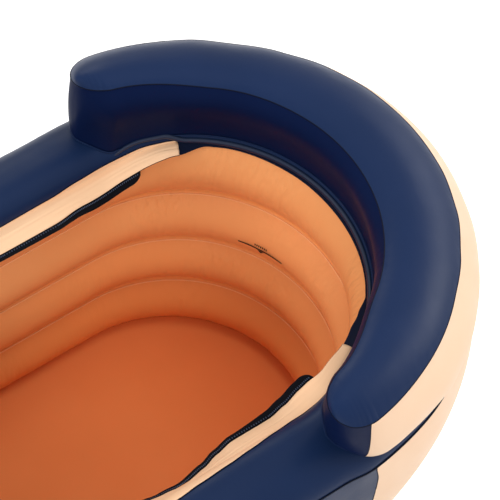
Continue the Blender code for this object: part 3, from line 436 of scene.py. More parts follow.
def make_inner_wall():
    bm = bmesh.new()
    rows = []
    for u in span(-1.0, 5.0, 2.6)[:-1]:
        s = station(u)
        row = []
        for k in range(RIBS * RIB_STEPS + 1):
            level = k / RIB_STEPS
            low = min(RIBS - 1, int(level))
            part = level - low
            p = place(*rib_point(level), s)
            row.append(place(*rib_point(level, -wall_pleats(p, part, low, s)), s))
        rows.append(row)
    grid(bm, rows, ring=True)
    new_piece("inner_wall_skin", bm, ORANGE, nodes=["inner_wall"])
    # Thin weld beads just below the inner creases, in the lighter orange: painted highlight along the ribs'
    # top edges
    bm = bmesh.new()
    for k in WEBS:
        line = [place(*rib_point(k - 0.040, 0.0004), station(u)) for u in span(-1.0, 5.0, 1.5)[:-1]]
        tube(bm, line, 0.0010, 6, closed=True)
    new_piece("rib_weld_highlight_beads", bm, ORANGE_HIGHLIGHT_BEAD)


def spine(s):
    return Vector((s.x0, 0.0, 0.0))


def disc_rows(us, w, w_tip, height, count=14):
    """Rows from the centre line out to a width, for a flat sheet."""
    rows = []
    for u in us:
        s = station(u)
        edge = place(w, 0.0, w_tip, 0.0, s)
        row = []
        for k in range(count + 1):
            p = spine(s).lerp(edge, k / count)
            p.z = height(p, k / count)
            row.append(p)
        rows.append(row)
    return rows


def floor_height(p, part):
    """Nearly flat, with slack swells that die out at the weld round it."""
    swell = 0.5 + 0.5 * rough(p, 5.0, 3.0)
    return 0.0016 + 0.0035 * swell * smooth((1.0 - part) / 0.25)


FLOOR_HALF = 0.2346


def make_floor():
    bm = bmesh.new()
    rows = disc_rows(span(-1.0, 5.0)[:-1], FLOOR_HALF, FLOOR_HALF * STRETCH, floor_height)
    grid(bm, rows, ring=True)
    # The floor takes the deeper orange: painted shade
    new_piece("floor_skin", bm, FLOOR_SHADED_FILM, nodes=["floor_sheet"])
    bm = bmesh.new()
    rows = disc_rows(span(-1.0, 5.0)[:-1], BASE, tip_reach(BASE), lambda p, part: 0.0002, 6)
    grid(bm, rows, ring=True)
    new_piece("bottom_skin", bm, NAVY, nodes=["base_sheet"])


# Outer walls

# By degrees round the head: how far the rim's outer seam is drawn out beside the right colour seam, how
# much fuller the wall is there, and the wall's bulge at the sides and at the tip
SHOULDER = [(-90.0, 0.0), (-84.0, 0.0050), (-70.0, 0.0050), (-54.0, 0.0)]
SHOULDER_DROP = 0.8
FULLER = [(-90.0, 0.0), (-78.0, 0.0065), (-60.0, 0.0080), (-20.0, 0.0030), (0.0, 0.0)]
WALL_BULGE, WALL_BULGE_HEAD = 0.0139, 0.0212
OUTER_STEPS = 56


def shoulder(s):
    return table_value(turned(s), SHOULDER)


def outer_point(part, s, push=0.0):
    """A point of the outer wall, part 0 at the floor and 1 at the rim, push outward."""
    full = math.sin(math.pi * part ** 1.5)
    out = shoulder(s) * part ** 5
    more = full * table_value(turned(s), FULLER)
    w = mix(BASE, SEAM, part) + WALL_BULGE * full + more + out
    w_tip = mix(tip_reach(BASE), tip_reach(SEAM), part) + WALL_BULGE_HEAD * full + more + out
    z = mix(BOTTOM, OUTER_TOP, part) - SHOULDER_DROP * out
    z_tip = mix(BOTTOM, OUTER_TOP_HEAD, part) - SHOULDER_DROP * out
    return w + push, z, w_tip + push, z_tip


def outer_push(p, part):
    """Small puckers along both welds of the outer wall."""
    top = math.exp(-(1 - part) / 0.045) * smooth((1 - part) / 0.01)
    low = math.exp(-part / 0.05) * smooth(part / 0.01)
    return -0.0016 * folds(p.x, p.y, 30.0, 2.0) * (top + low) + 0.0007 * rough(p, 9.0, 4.0)


def seam_slide(p, part):
    """Near the colour seams the film is drawn a little toward the head, below the rim."""
    near = bump(p.x - HEAD_X - 0.046, 0.10)
    along = 0.008 * near * smooth((1.0 - part) / 0.11)
    return p + Vector((along, -math.copysign(0.10 * along, p.y), 0.0))


def outer_rows(us):
    rows = []
    for u in us:
        s = station(u)
        row = []
        for part in eased(OUTER_STEPS):
            p = place(*outer_point(part, s), s)
            row.append(seam_slide(place(*outer_point(part, s, outer_push(p, part)), s), part))
        rows.append(row)
    return rows


COLOUR_SEAM = 83.4 / 90.0


def make_outer_walls():
    bm = bmesh.new()
    grid(bm, outer_rows(span(-COLOUR_SEAM, COLOUR_SEAM, 1.2)))
    new_piece("outer_head_skin", bm, PEACH, nodes=["outer_wall_head"])
    bm = bmesh.new()
    us = span(COLOUR_SEAM, 5.0, 1.2) + [u for u in span(-1.0, -COLOUR_SEAM, 1.2) if u > -1.0]
    grid(bm, outer_rows(us))
    new_piece("outer_body_skin", bm, NAVY, nodes=["outer_wall_body"])
    bm = bmesh.new()
    for side in (-1, 1):
        s = station(side * COLOUR_SEAM)
        line = [seam_slide(place(*outer_point(part, s, 0.0002), s), part) for part in steps(0.0, 1.0, 40)]
        tube(bm, line, 0.0008, 6)
    new_piece("outer_colour_seams", bm, SEAM_LINE)


def make_webs():
    """Sheets between the walls at each crease, open at the foot where the drain passes."""
    for k in WEBS:
        z = PITCH * k
        rows = []
        for u in span(3.06, 5.0) + [u for u in span(-1.0, 2.94) if u > -1.0]:
            s = station(u)
            w_out, _, tip_out, _ = outer_point(z / OUTER_TOP, s)
            w_in = CREASES[k] + 0.001
            row = []
            for j in range(7):
                t = j / 6
                p = place(mix(w_in, w_out - 0.006, t), z, mix(w_in * STRETCH, tip_out - 0.012, t), z, s)
                p.z = z - 0.004 * math.sin(math.pi * t)
                row.append(p)
            rows.append(row)
        bm = bmesh.new()
        grid(bm, rows)
        new_piece("web_%d" % k, bm, CLEAR, nodes=["tension_web_%d" % k])


# Rim

RIM_CROWN, RIM_CROWN_HEAD = 0.038, 0.036
RIM_STEPS = 40


def rim_base(part):
    """The line between the rim's two welds, part 0 at the inner one."""
    z, z_tip = mix(RIM_IN, RIM_OUT, part), mix(RIM_IN_HEAD, RIM_OUT_HEAD, part)
    return mix(WELD, SEAM, part), z, mix(WELD * STRETCH, tip_reach(SEAM), part), z_tip


def rim_point(part, s, push=0.0):
    """A point of the rim's top, push up."""
    share = (max(0.0, 1.0 - abs(2.0 * part - 1.0) ** 2.5)) ** 0.55
    out = shoulder(s) * part ** 3
    w, z, w_tip, z_tip = rim_base(part)
    z = z + (RIM_CROWN + push) * share - SHOULDER_DROP * out
    z_tip = z_tip + (RIM_CROWN_HEAD + push) * share - SHOULDER_DROP * out
    return w + out, z, w_tip + out, z_tip


def rim_push(p, part):
    """Puckers along the rim's two welds, and a slow unevenness."""
    inner = math.exp(-part / 0.07) * smooth(part / 0.008)
    outer = math.exp(-(1 - part) / 0.10) * smooth((1 - part) / 0.008)
    pleat = folds(p.x, p.y, 38.0, 7.0) * inner * 0.10 + folds(p.x, p.y, 26.0, 8.0) * outer * 0.16
    return -0.036 * pleat + 0.0014 * rough(p, 6.0, 1.0)


def make_rim():
    rows = []
    for u in span(-1.0, 5.0, 1.4)[:-1]:
        s = station(u)
        row = []
        for part in eased(RIM_STEPS):
            p = place(*rim_point(part, s), s)
            row.append(place(*rim_point(part, s, rim_push(p, part)), s))
        rows.append(row)
    bm = bmesh.new()
    grid(bm, rows, ring=True)
    new_piece("rim_skin", bm, NAVY, nodes=["rim_top"])
    rows = []
    for u in span(-1.0, 5.0)[:-1]:
        s = station(u)
        row = []
        for part in steps(0.0, 1.0, 8):
            sag = 0.0014 + 0.012 * math.sin(math.pi * part)
            w, z, w_tip, z_tip = rim_base(part)
            row.append(place(w, z - sag, w_tip, z_tip - sag, s))
        rows.append(row)
    bm = bmesh.new()
    grid(bm, rows, ring=True)
    new_piece("rim_lower_skin", bm, NAVY, nodes=["rim_bottom"])
    bm = bmesh.new()
    line, off = [], 0.0012
    for u in span(-1.0, 5.0)[:-1]:
        w, z, w_tip, z_tip = rim_point(1.0, station(u))
        line.append(place(w + off, z - off, w_tip + off, z_tip - off, station(u)))
    tube(bm, line, 0.0014, 6, closed=True)
    new_piece("rim_outer_seam", bm, SEAM_LINE)


# Where the flanges and the zips start at the head, as places on the ring, and where they meet at the foot
FLANGE_START, ZIP_START, FOOT_MIDDLE = 60.5 / 90.0, 75.5 / 90.0, 2.997

# How far the lip under the piping stands in, by degrees round the head. The lip is a near-black sheet for
# the shadowed gap under the piping: painted shade
LIP = [
    (-60.5, 0.0210), (-52.0, 0.0195), (-45.0, 0.0135), (-38.0, 0.0050), (-30.0, 0.0045), (0.0, 0.0055),
    (20.0, 0.0045), (42.0, 0.0030), (50.0, 0.0040), (60.5, 0.0170),
]
LIP_HALF, LIP_Z = 0.2594, 0.4411
HEAD_RISE = 0.031  # the opening's edge stands this much higher at the head's tip

# By degrees round the head: how far the piping stands out beside the left flange, and its share of full size
BESIDE_FLANGE = [(58.0, 0.0), (66.0, 0.0045), (76.0, 0.0070), (87.0, 0.0075)]
PIPING_TAPER = [(-72.0, 0.15), (-62.0, 1.0), (60.0, 1.0), (74.0, 0.75), (87.0, 0.30)]

# Half width, height, rise where it stands out, and radius of each bead
BEADS = [(0.2610, 0.4442, 2.5, 0.0050), (0.2682, 0.4585, 1.5, 0.0018)]


def make_piping():
    """Two glossy weld beads side by side round the head's opening, over a narrow near-black lip that paints
    the shadow in the gap under them.
    """
    bm = bmesh.new()
    us = span(-72.0 / 90.0, 87.0 / 90.0, 1.2)
    for w, z, rise, radius in BEADS:
        line = []
        for u in us:
            s = station(u)
            out = table_value(turned(s), BESIDE_FLANGE)
            sunk = 0.012 * smooth((turned(s) - 77.0) / 8.0)
            up = rise * out - sunk
            line.append(place(w + out, z + up, (w + out) * STRETCH, z + HEAD_RISE + up, s))
        tube(bm, line, [radius * table_value(turned(station(u)), PIPING_TAPER) for u in us], 12)
    new_piece("rim_piping_beads", bm, NAVY_BEAD, nodes=["rim_piping"])
    bm = bmesh.new()
    rows = []
    for u in span(-FLANGE_START, FLANGE_START, 1.2):
        s = station(u)
        reach = table_value(turned(s), LIP)
        row = []
        for k in range(7):
            w, drop = LIP_HALF - reach * k / 6, (0.0030 + 0.45 * reach) * k / 6
            row.append(place(w, LIP_Z - drop, w * STRETCH, LIP_Z + HEAD_RISE - drop, s))
        rows.append(row)
    grid(bm, rows)
    new_piece("rim_lip_painted_shade", bm, LIP_SHADE_FILM)


# Backrest

MID = 0.323  # radius of the cushion's middle line
SEAM_IN_Z, SEAM_OUT_Z = 0.600, 0.572
TOP_CROWN = 0.0225
# For the right end and the left: where the top and the foot end along X, and the length of their rounding
ENDS = {
    -1: {"top": (-0.018, 0.052), "foot": (0.0045, 0.047)},
    1: {"top": (0.009, 0.042), "foot": (0.0025, 0.043)},
}
END_STEPS, ARC_STEPS = 34, 230
TOP_STEPS, SIDE_STEPS, FOOT_STEPS = 36, 20, 10
COLOUR_STEP = 13  # of the rounding's steps, where navy meets peach


def end_path(side, level, share):
    """Station and narrowing at an end: share runs from 0, where the rounding starts, to 1 at its tip."""
    tip, length = ENDS[side][level]
    if level == "top":
        share **= 1.9
    run = -tip - length * (1.0 - math.sin(share * math.pi / 2))
    narrow = max(0.0, math.cos(share * math.pi / 2))
    return at_run(side, run), narrow


def at_run(side, run):
    """A station at a distance past the place where the head's arc meets the straight side."""
    if run <= 0.0:
        return head_station(side * (math.pi / 2 + run / MID))
    return Station(HEAD_X - run, 0.0, side, 0.0, 0.0)


def start_angle(side, level):
    tip, length = ENDS[side][level]
    return side * (math.pi / 2 - (tip + length) / MID)


def backrest_stations(level):
    """Stations with their narrowing, from the right end's tip to the left end's."""
    found = [end_path(-1, level, k / END_STEPS) for k in range(END_STEPS, 0, -1)]
    for angle in steps(start_angle(-1, level), start_angle(1, level), ARC_STEPS):
        found.append((head_station(angle), 1.0))
    return found + [end_path(1, level, k / END_STEPS) for k in range(1, END_STEPS + 1)]


def foot_place(part, s):
    p = place(*rim_point(part, s), s)
    p.z += 0.0006
    return p


# By degrees round the head: how much further the top's outer seam stands out by the tip, the bulge of the
# outer wall and where it is fullest, the half widths of the top's two seams, the bulge of the inner wall,
# and how far out the foot stands on the rim, as a share of the rim
TOP_REACH = [(0.0, 0.0148), (12.0, 0.0140), (24.0, 0.0102), (36.0, 0.0042), (48.0, 0.0)]
OUTER_BULGE = [
    (-90.0, 0.0110), (-76.0, 0.0115), (-64.0, 0.0140), (-50.0, 0.0150), (-37.0, 0.0155), (-20.0, 0.0180),
    (0.0, 0.0225), (15.0, 0.0245), (30.0, 0.0255), (42.0, 0.0240), (58.0, 0.0265), (74.0, 0.0210),
    (84.0, 0.0090), (90.0, 0.0035),
]
LOW_SHARE = [(-90.0, 0.50), (-60.0, 0.50), (-35.0, 0.72), (90.0, 0.72)]
SEAM_OUTER = [(-90.0, 0.3825), (-66.0, 0.378), (48.0, 0.378), (58.0, 0.3815), (84.0, 0.3880)]
SEAM_INNER = [(-90.0, 0.2980), (-56.0, 0.2660), (20.0, 0.2680), (50.0, 0.2705), (90.0, 0.2990)]
INNER_BULGE = [(-84.0, 0.0050), (-50.0, 0.0080), (-20.0, 0.0135)]
FOOT_OUT = [
    (-90.0, 0.925), (-84.5, 0.945), (-77.5, 0.960), (-70.0, 0.970), (-61.0, 0.990), (-45.0, 0.972),
    (40.0, 0.960), (66.0, 0.950),
]
FOOT_IN = [(62.0, 0.022), (88.0, 0.085)]
END_BULGE = 0.0020


def seam_widths(s):
    """Half widths of the top's inner and outer seam, which both move outward toward the ends."""
    where = turned(s)
    outer = table_value(where, SEAM_OUTER) + table_value(abs(where), TOP_REACH)
    return table_value(where, SEAM_INNER), outer


def seam_places(s, narrow):
    inner, outer = seam_widths(s)
    low = place(inner, SEAM_IN_Z, inner * STRETCH, SEAM_IN_Z, s)
    high = place(outer, SEAM_OUT_Z, outer * STRETCH, SEAM_OUT_Z, s)
    centre = (low + high) / 2
    return centre.lerp(low, narrow), centre.lerp(high, narrow)


def outward(s):
    return Vector((s.along, s.across, 0.0)).normalized()


def runs(points):
    """Distance along a line at each of its points."""
    found = [0.0]
    for a, b in zip(points, points[1:]):
        found.append(found[-1] + (b - a).length)
    return found


# Puckers at the top's seams: distance along the seam from the right tip, half width, depth, length inward
OUT_PUCKERS = [
    (0.046, 0.0026, 0.0034, 0.010), (0.055, 0.0022, 0.0056, 0.013), (0.062, 0.0024, 0.0048, 0.012),
    (0.071, 0.0026, 0.0030, 0.009), (0.083, 0.0028, 0.0024, 0.009), (0.101, 0.0030, 0.0018, 0.008),
    (0.124, 0.0030, 0.0010, 0.009), (0.151, 0.0030, 0.0008, 0.008), (1.085, 0.0030, 0.0012, 0.009),
    (1.110, 0.0030, 0.0016, 0.009), (1.136, 0.0028, 0.0018, 0.009),
]
IN_PUCKERS = [
    (0.034, 0.0026, 0.0012, 0.008), (0.055, 0.0026, 0.0010, 0.008), (-0.028, 0.0024, 0.0022, 0.009),
    (-0.036, 0.0022, 0.0048, 0.013), (-0.044, 0.0024, 0.0040, 0.012), (-0.053, 0.0026, 0.0028, 0.010),
    (-0.066, 0.0028, 0.0012, 0.008),
]


def puckers(run, total, table, depth_in):
    """How deep the film is drawn in, at a distance from the seam."""
    deep = 0.0
    for at, width, depth, length in table:
        at = at if at >= 0 else total + at
        deep += depth * bump(run - at, width) * math.exp(-depth_in / length) * smooth(depth_in / 0.003)
    return deep


def backrest_rows():
    """Closed loops of points: foot from in to out, outer wall up, top from out to in, inner wall down."""
    tops, feet = backrest_stations("top"), backrest_stations("foot")
    seams = [seam_places(*t) for t in tops]
    in_runs, out_runs = runs([a for a, b in seams]), runs([b for a, b in seams])
    rows = []
    for index, ((top, narrow), (foot, foot_narrow)) in enumerate(zip(tops, feet)):
        low, high = seams[index]
        where = turned(foot)
        f_in = mix(0.5, table_value(abs(where), FOOT_IN), foot_narrow ** 1.5)
        f_out = mix(0.5, table_value(where, FOOT_OUT), foot_narrow)
        foot_row = [foot_place(part, foot) for part in steps(f_in, f_out, FOOT_STEPS)]
        end_way = Vector((-1.0, 0.0, 0.0))
        out_way = (outward(top) * narrow + end_way * (1 - narrow)).normalized()
        in_way = (-outward(top) * narrow + end_way * (1 - narrow)).normalized()
        where, wide = turned(top), narrow ** 1.6
        full = mix(END_BULGE, table_value(where, OUTER_BULGE), wide)
        low_share = mix(1.0, table_value(where, LOW_SHARE), wide)
        outer = wall_line(foot_row[-1], high, out_way, full, low_share)
        inner_full = mix(END_BULGE, table_value(where, INNER_BULGE), wide)
        inner = wall_line(foot_row[0], low, in_way, inner_full, mix(1.0, 2.2, wide))
        across = top_line(low, high, narrow, in_runs[index], in_runs[-1], out_runs[index], out_runs[-1])
        rows.append(foot_row[:-1] + outer[:-1] + across[::-1][:-1] + inner[::-1][:-1])
    return rows


def wall_line(foot, top, way, bulge, low_share):
    """A wall from foot to top seam. A low_share below 1 puts its fullest part below the middle."""
    line = []
    for part in steps(0.0, 1.0, SIDE_STEPS):
        p = foot.lerp(top, part)
        full = math.sin(math.pi * part ** low_share)
        pleat = folds(p.x, p.y, 70.0, 11.0) * math.exp(-(1 - part) / 0.12) * smooth((1 - part) / 0.03)
        push = bulge * full - 0.0012 * pleat + 0.0006 * rough(p, 12.0, 6.0) * math.sin(math.pi * part)
        line.append(p + way * push)
    return line


def top_line(low, high, narrow, in_run, in_total, out_run, out_total):
    """The crowned top from the inner seam to the outer one, drawn in at its puckers."""
    width = (high - low).length
    rise = TOP_CROWN * math.sqrt(min(1.0, width / 0.11))
    line = []
    for part in eased(TOP_STEPS):
        p = low.lerp(high, part)
        deep = puckers(out_run, out_total, OUT_PUCKERS, (1 - part) * width)
        deep += puckers(in_run, in_total, IN_PUCKERS, part * width)
        near = math.exp(-(1 - part) * width / 0.012) * smooth((1 - part) / 0.02)
        near += math.exp(-part * width / 0.010) * smooth(part / 0.02)
        deep += 0.0010 * folds(p.x, p.y, 60.0, 13.0) * near
        dome = 1.0 - (2 * part - 1) ** 2
        p.z += rise * (dome ** 0.85) - deep * min(1.0, narrow * 3) + 0.0010 * rough(p, 9.0, 3.0) * dome
        line.append(p)
    return line


def make_backrest():
    rows = backrest_rows()
    loop = FOOT_STEPS + 2 * SIDE_STEPS + TOP_STEPS
    inner_wall_from = FOOT_STEPS + SIDE_STEPS + TOP_STEPS
    first, last = END_STEPS - COLOUR_STEP, END_STEPS + ARC_STEPS + COLOUR_STEP
    bm_navy, bm_peach = bmesh.new(), bmesh.new()
    for bm, wanted in ((bm_navy, False), (bm_peach, True)):
        verts = [[bm.verts.new(p) for p in row] for row in rows]
        for i in range(len(rows) - 1):
            for k in range(loop):
                outer_side = FOOT_STEPS <= k < FOOT_STEPS + SIDE_STEPS
                if (outer_side and first <= i < last) != wanted:
                    continue
                n = (k + 1) % loop
                face = bm.faces.new((verts[i][k], verts[i][n], verts[i + 1][n], verts[i + 1][k]))
                # The walls take the darker navy copy: painted shade
                if not wanted and (outer_side or k >= inner_wall_from):
                    face.material_index = 1
        bmesh.ops.delete(bm, geom=[v for v in bm.verts if not v.link_faces], context="VERTS")
    navy = new_piece(
        "backrest_navy_cushion", bm_navy, NAVY_TOP_LIT,
        nodes=["backrest_top", "backrest_inner_wall", "backrest_base"],
    )
    navy.data.materials.append(NAVY_WALL_SHADED)
    peach = new_piece(
        "backrest_peach_cushion_wall", bm_peach, PEACH, nodes=["backrest_outer_wall"]
    )
    top_out = [row[FOOT_STEPS + SIDE_STEPS] for row in rows]
    top_in = [row[inner_wall_from] for row in rows]
    foot_loop = [row[FOOT_STEPS] for row in rows] + [row[0] for row in rows][-2:0:-1]
    bm = bmesh.new()
    tube(bm, top_out + top_in[-2:0:-1], 0.0009, 6, closed=True)
    for i in (first, last):
        tube(bm, rows[i][FOOT_STEPS:FOOT_STEPS + SIDE_STEPS + 1], 0.0007, 6)
    new_piece("backrest_top_seam", bm, SEAM_LINE)
    bm = bmesh.new()
    tube(bm, [p + Vector((0, 0, 0.0008)) for p in foot_loop], 0.0013, 8, closed=True)
    new_piece("backrest_foot_seam", bm, NAVY)


# Flanges, zipper and cover

# By X for the right side and the left: slope of each flange in degrees below level, its width, the slope
# and width of its zipper tape, and how far its outer edge lies up the rim, as a share of the rim
DROOP = {
    -1: [
        (-0.06, 17.5), (0.06, 47.0), (0.110, 59.0), (0.145, 66.0), (0.187, 55.0), (0.215, 45.0),
        (0.245, 36.0), (0.315, 33.0), (0.345, 22.0), (0.378, 12.0), (0.41, 3.0), (0.45, -2.0),
    ],
    1: [(-0.06, 17.5), (0.06, 3.0), (0.25, 2.0), (0.327, 7.0), (0.39, 2.0), (0.46, 0.0)],
}
WIDTH = {
    -1: [(-0.06, 0.0400), (0.05, 0.0385), (0.375, 0.0385), (0.43, 0.0275), (0.475, 0.0215)],
    1: [
        (-0.06, 0.0400), (0.05, 0.0385), (0.24, 0.0385), (0.30, 0.0335), (0.375, 0.0310), (0.44, 0.0290),
        (0.475, 0.0250),
    ],
}
TAPE_SLOPE = {
    -1: [(-0.06, 24.0), (0.10, 38.0), (0.17, 5.0), (0.25, -14.0), (0.40, -14.0)],
    1: [(-0.06, 17.5), (0.06, 5.0), (0.22, 7.0), (0.285, 36.0), (0.34, 42.0), (0.38, 36.0), (0.44, 10.0)],
}
TAPE_WIDTH = {
    -1: [(-0.06, 0.0118), (0.10, 0.0105), (0.25, 0.0095), (0.34, 0.0145), (0.80, 0.0155)],
    1: [(-0.06, 0.0118), (0.10, 0.0100), (0.25, 0.0110), (0.32, 0.0140), (0.80, 0.0155)],
}
ON_RIM = {
    -1: [
        (-0.06, 0.0), (0.04, 0.15), (0.10, 0.184), (0.144, 0.153), (0.20, 0.128), (0.24, 0.100),
        (0.29, 0.060), (0.34, 0.020), (0.38, 0.0),
    ],
    1: [(0.16, 0.0), (0.26, 0.002), (0.31, 0.012), (0.35, 0.017), (0.41, 0.009), (0.45, 0.001), (0.48, 0.0)],
}


FLANGE_HALF, FLANGE_Z = 0.2605, 0.4404


def flange_base(u, side):
    """Station, weld point and slope of a flange. Both sides count along the left one."""
    s = station(u)
    s = s._replace(across=s.across * side)
    base = place(FLANGE_HALF, FLANGE_Z, FLANGE_HALF * STRETCH, FLANGE_Z + HEAD_RISE, s)
    slope = table_value(base.x, DROOP[side])
    if base.x > 0.0:
        slope += 4.0 * rough((base.x, base.y, 0.0), 9.0, 20.0 + side)
    return s, base, math.radians(slope)


def across_flange(u, side, share, beyond=0.0, lift=0.0):
    """A point across the flange. Share 0 is the weld, 1 its inner edge, and below 0 it lies on the rim.
    beyond goes on over the tape, in metres."""
    s, base, slope = flange_base(u, side)
    if share < 0.0:
        p = place(*rim_point(0.0002 - share * table_value(base.x, ON_RIM[side]), s), s)
        return p + Vector((0, 0, 0.0012 + lift))
    inward = -outward(s)
    width = share * table_value(base.x, WIDTH[side])
    long_wave = 0.0009 * rough(base + inward * width, 34.0, 31.0) * smooth(width / 0.02)
    streak = rough((base.x * 9.0, width * 240.0, base.y * 9.0), 1.0, 37.0 + side)
    wrinkle = 0.0009 * streak * smooth(width / 0.006)
    bow = 0.0018 * math.sin(math.pi * min(1.0, share))
    p = slid(base, inward, slope, width, lift + long_wave + wrinkle + bow)
    if beyond > 0.0:
        tape = math.radians(table_value(base.x, TAPE_SLOPE[side]))
        p = slid(p, inward, tape, beyond, 0.0)
    return p


def slid(p, inward, slope, run, rise):
    """A point moved inward along a slope, and square to it."""
    way = inward * math.cos(slope) + Vector((0, 0, -math.sin(slope)))
    up = inward * math.sin(slope) + Vector((0, 0, math.cos(slope)))
    return p + way * run + up * rise


TEETH_PITCH = 0.0030
TEETH_OFFSET = 0.00396  # from the tape's edge
TOOTH_FACES = [(0, 1, 2, 3), (4, 5, 6, 7), (0, 1, 5, 4), (1, 2, 6, 5), (2, 3, 7, 6), (3, 0, 4, 7)]


def make_flanges():
    for name, side in (("left", 1), ("right", -1)):
        us = span(FLANGE_START, FOOT_MIDDLE, 1.8)
        shares = steps(-1.0, 0.0, 6)[:-1] + steps(0.0, 1.0, 28)
        bm = bmesh.new()
        grid(bm, [[across_flange(u, side, share) for share in shares] for u in us])
        piece = new_piece(
            "flange_cloth_" + name, bm, FLANGE, nodes=["cover_flange_" + name]
        )
        thicken(piece, 0.0010)
        rows, run, last = [], 0.0, None
        for u in span(ZIP_START, FOOT_MIDDLE, 3.0):
            here = across_flange(u, side, 1.0)
            run += (here - last).length if last else 0.0
            last = here
            close = math.sqrt(1.0 - max(0.0, 1.0 - run / 0.020) ** 2)
            wide = table_value(here.x, TAPE_WIDTH[side]) * close
            rows.append([across_flange(u, side, 1.0, 0.0001 + wide * k / 6, -0.0004) for k in range(7)])
        bm = bmesh.new()
        grid(bm, rows)
        piece = new_piece("zip_tape_cloth_" + name, bm, TAPE, nodes=["zip_tape_" + name])
        thicken(piece, 0.0012)
        make_teeth(name, side)
        make_hem(name, side, us)


def make_hem(name, side, us):
    """Two thin lines: the weld along the flange's outer edge, and its bare inner edge before the zip."""
    bm = bmesh.new()
    tube(bm, [across_flange(u, side, -1.0, 0.0, -0.0004) for u in us], 0.0009, 6)
    new_piece("flange_weld_" + name, bm, SEAM_LINE)
    bm = bmesh.new()
    tail = [across_flange(u, side, 1.0, 0.0, -0.0006) for u in span(FLANGE_START, ZIP_START, 3.0)]
    tube(bm, tail, 0.0007, 6)
    new_piece("zip_tail_" + name, bm, SEAM_LINE)


def make_teeth(name, side):
    """Moulded teeth in a row along the tape, each a little narrower at its top."""
    bm = bmesh.new()
    last = None
    for u in span(ZIP_START + 0.016, 2.99, 9.0):
        p = across_flange(u, side, 1.0, TEETH_OFFSET, 0.0006)
        if last and (p - last).length < TEETH_PITCH:
            continue
        q = across_flange(u, side, 1.0, TEETH_OFFSET + 0.002, 0.0006)
        ahead = across_flange(u + 0.002, side, 1.0, TEETH_OFFSET, 0.0006)
        out, way = (q - p).normalized(), (ahead - p).normalized()
        up = out.cross(way).normalized()
        if up.z < 0:
            up = -up
        corners = []
        for c, taper in ((-1, 1.0), (1, 0.75)):
            for a, b in ((-1, -1), (1, -1), (1, 1), (-1, 1)):
                corner = p + way * 0.0009 * a * taper + out * 0.0013 * b * taper + up * 0.0009 * c
                corners.append(bm.verts.new(corner))
        for face in TOOTH_FACES:
            bm.faces.new([corners[i] for i in face])
        last = p
    new_piece("zip_teeth_" + name, bm, TOOTH).data.shade_flat()


COVER_X = -0.110
COVER_HALF = 0.2096
COVER_Z = 0.4285
ROLL_HALF = 0.2035
ROLL_X, ROLL_Z = COVER_X - 0.0302, 0.4595
ROLL_RADIUS, ROLL_STEP = 0.0296, 0.004
ROLL_TURNS, TURN_STEPS = 4.5, 40


def cover_height(x, y):
    """The zipped part sags a little and is pulled into shallow folds from its corners."""
    edge = smooth((COVER_HALF - abs(y)) / 0.10) * smooth((COVER_X - x) / 0.05 + 0.6)
    back = smooth((x - (FOOT_X - COVER_HALF)) / 0.15)
    pulled = 0.0022 * math.sin(34.0 * x + 9.0 * rough((x, y, 0), 4.0, 41.0)) * edge * back
    return COVER_Z - 0.010 * edge * back + pulled


def make_cover():
    rows = []
    for i in range(61):
        x = mix(COVER_X, FOOT_X - COVER_HALF + 0.0006, i / 60)
        half = COVER_HALF if x > FOOT_X else math.sqrt(max(0.0, COVER_HALF ** 2 - (FOOT_X - x) ** 2))
        row = []
        for k in range(49):
            y = half * math.sin(mix(-math.pi / 2, math.pi / 2, k / 48))
            row.append(Vector((x, y, cover_height(x, y))))
        rows.append(row)
    bm = bmesh.new()
    grid(bm, rows)
    piece = new_piece("cover_cloth", bm, NAVY, nodes=["cover_sheet"])
    thicken(piece, 0.0010)
    make_roll()


def make_roll():
    """The rolled part: an open spiral of four and a half turns, slack and a little uneven."""
    rows = []
    for i in range(int(ROLL_TURNS * TURN_STEPS) + 1):
        angle = 2 * math.pi * i / TURN_STEPS - math.pi / 2
        c, s = math.cos(angle), math.sin(angle)
        radius = ROLL_RADIUS - ROLL_STEP * i / TURN_STEPS
        row = []
        for y in steps(-ROLL_HALF, ROLL_HALF, 32):
            uneven = 0.0011 * rough((0.3 * c, y, 0.3 * s), 7.0, 51.0 + i // TURN_STEPS)
            r = radius + uneven * smooth(radius / 0.02)
            row.append(Vector((ROLL_X + r * c, y, ROLL_Z + r * s)))
        skew = 0.0025 * rough((i * 0.05, 0.0, 0.0), 1.0, 61.0)
        row[0].y += skew
        row[-1].y += skew
        rows.append(row)
    bm = bmesh.new()
    grid(bm, rows)
    piece = new_piece("cover_roll_cloth", bm, NAVY, nodes=["cover_roll"])
    thicken(piece, 0.0009)


# Water-level mark

MARK_PROUD = 0.0007
MARK_LEVEL = 2.355


def mark_point(degrees, level):
    s = station(degrees / 90.0)
    return place(*rib_point(level, MARK_PROUD), s)


def mark_face(bm, corners):
    bm.faces.new([bm.verts.new(mark_point(*c)) for c in corners])


def make_mark():
    """A thin level line with a pointer under it and short ticks over it."""
    bm = bmesh.new()
    places, top = steps(33.2, 13.2, 40), MARK_LEVEL + 0.034
    for a, b in zip(places, places[1:]):
        mark_face(bm, [(a, MARK_LEVEL), (b, MARK_LEVEL), (b, top), (a, top)])
    below = MARK_LEVEL - 0.012
    mark_face(bm, [(24.9, below), (21.9, below), (23.4, MARK_LEVEL - 0.095)])
    low, high = MARK_LEVEL + 0.075, MARK_LEVEL + 0.075 + 0.045
    for k in range(7):
        start = 26.2 - 0.85 * k
        mark_face(bm, [(start, low), (start - 0.45, low), (start - 0.45, high), (start, high)])
    new_piece("level_mark", bm, MARK)


# Hard parts keep their CAD nodes

def finish_hard_nodes():
    for name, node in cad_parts.items():
        metal = name.startswith(("zip_slider", "zip_pull"))
        if metal or "valve" in name or name.startswith("drain"):
            node.data.materials.clear()
            node.data.materials.append(HARDWARE if metal else PLASTIC)


# Stage, light and camera

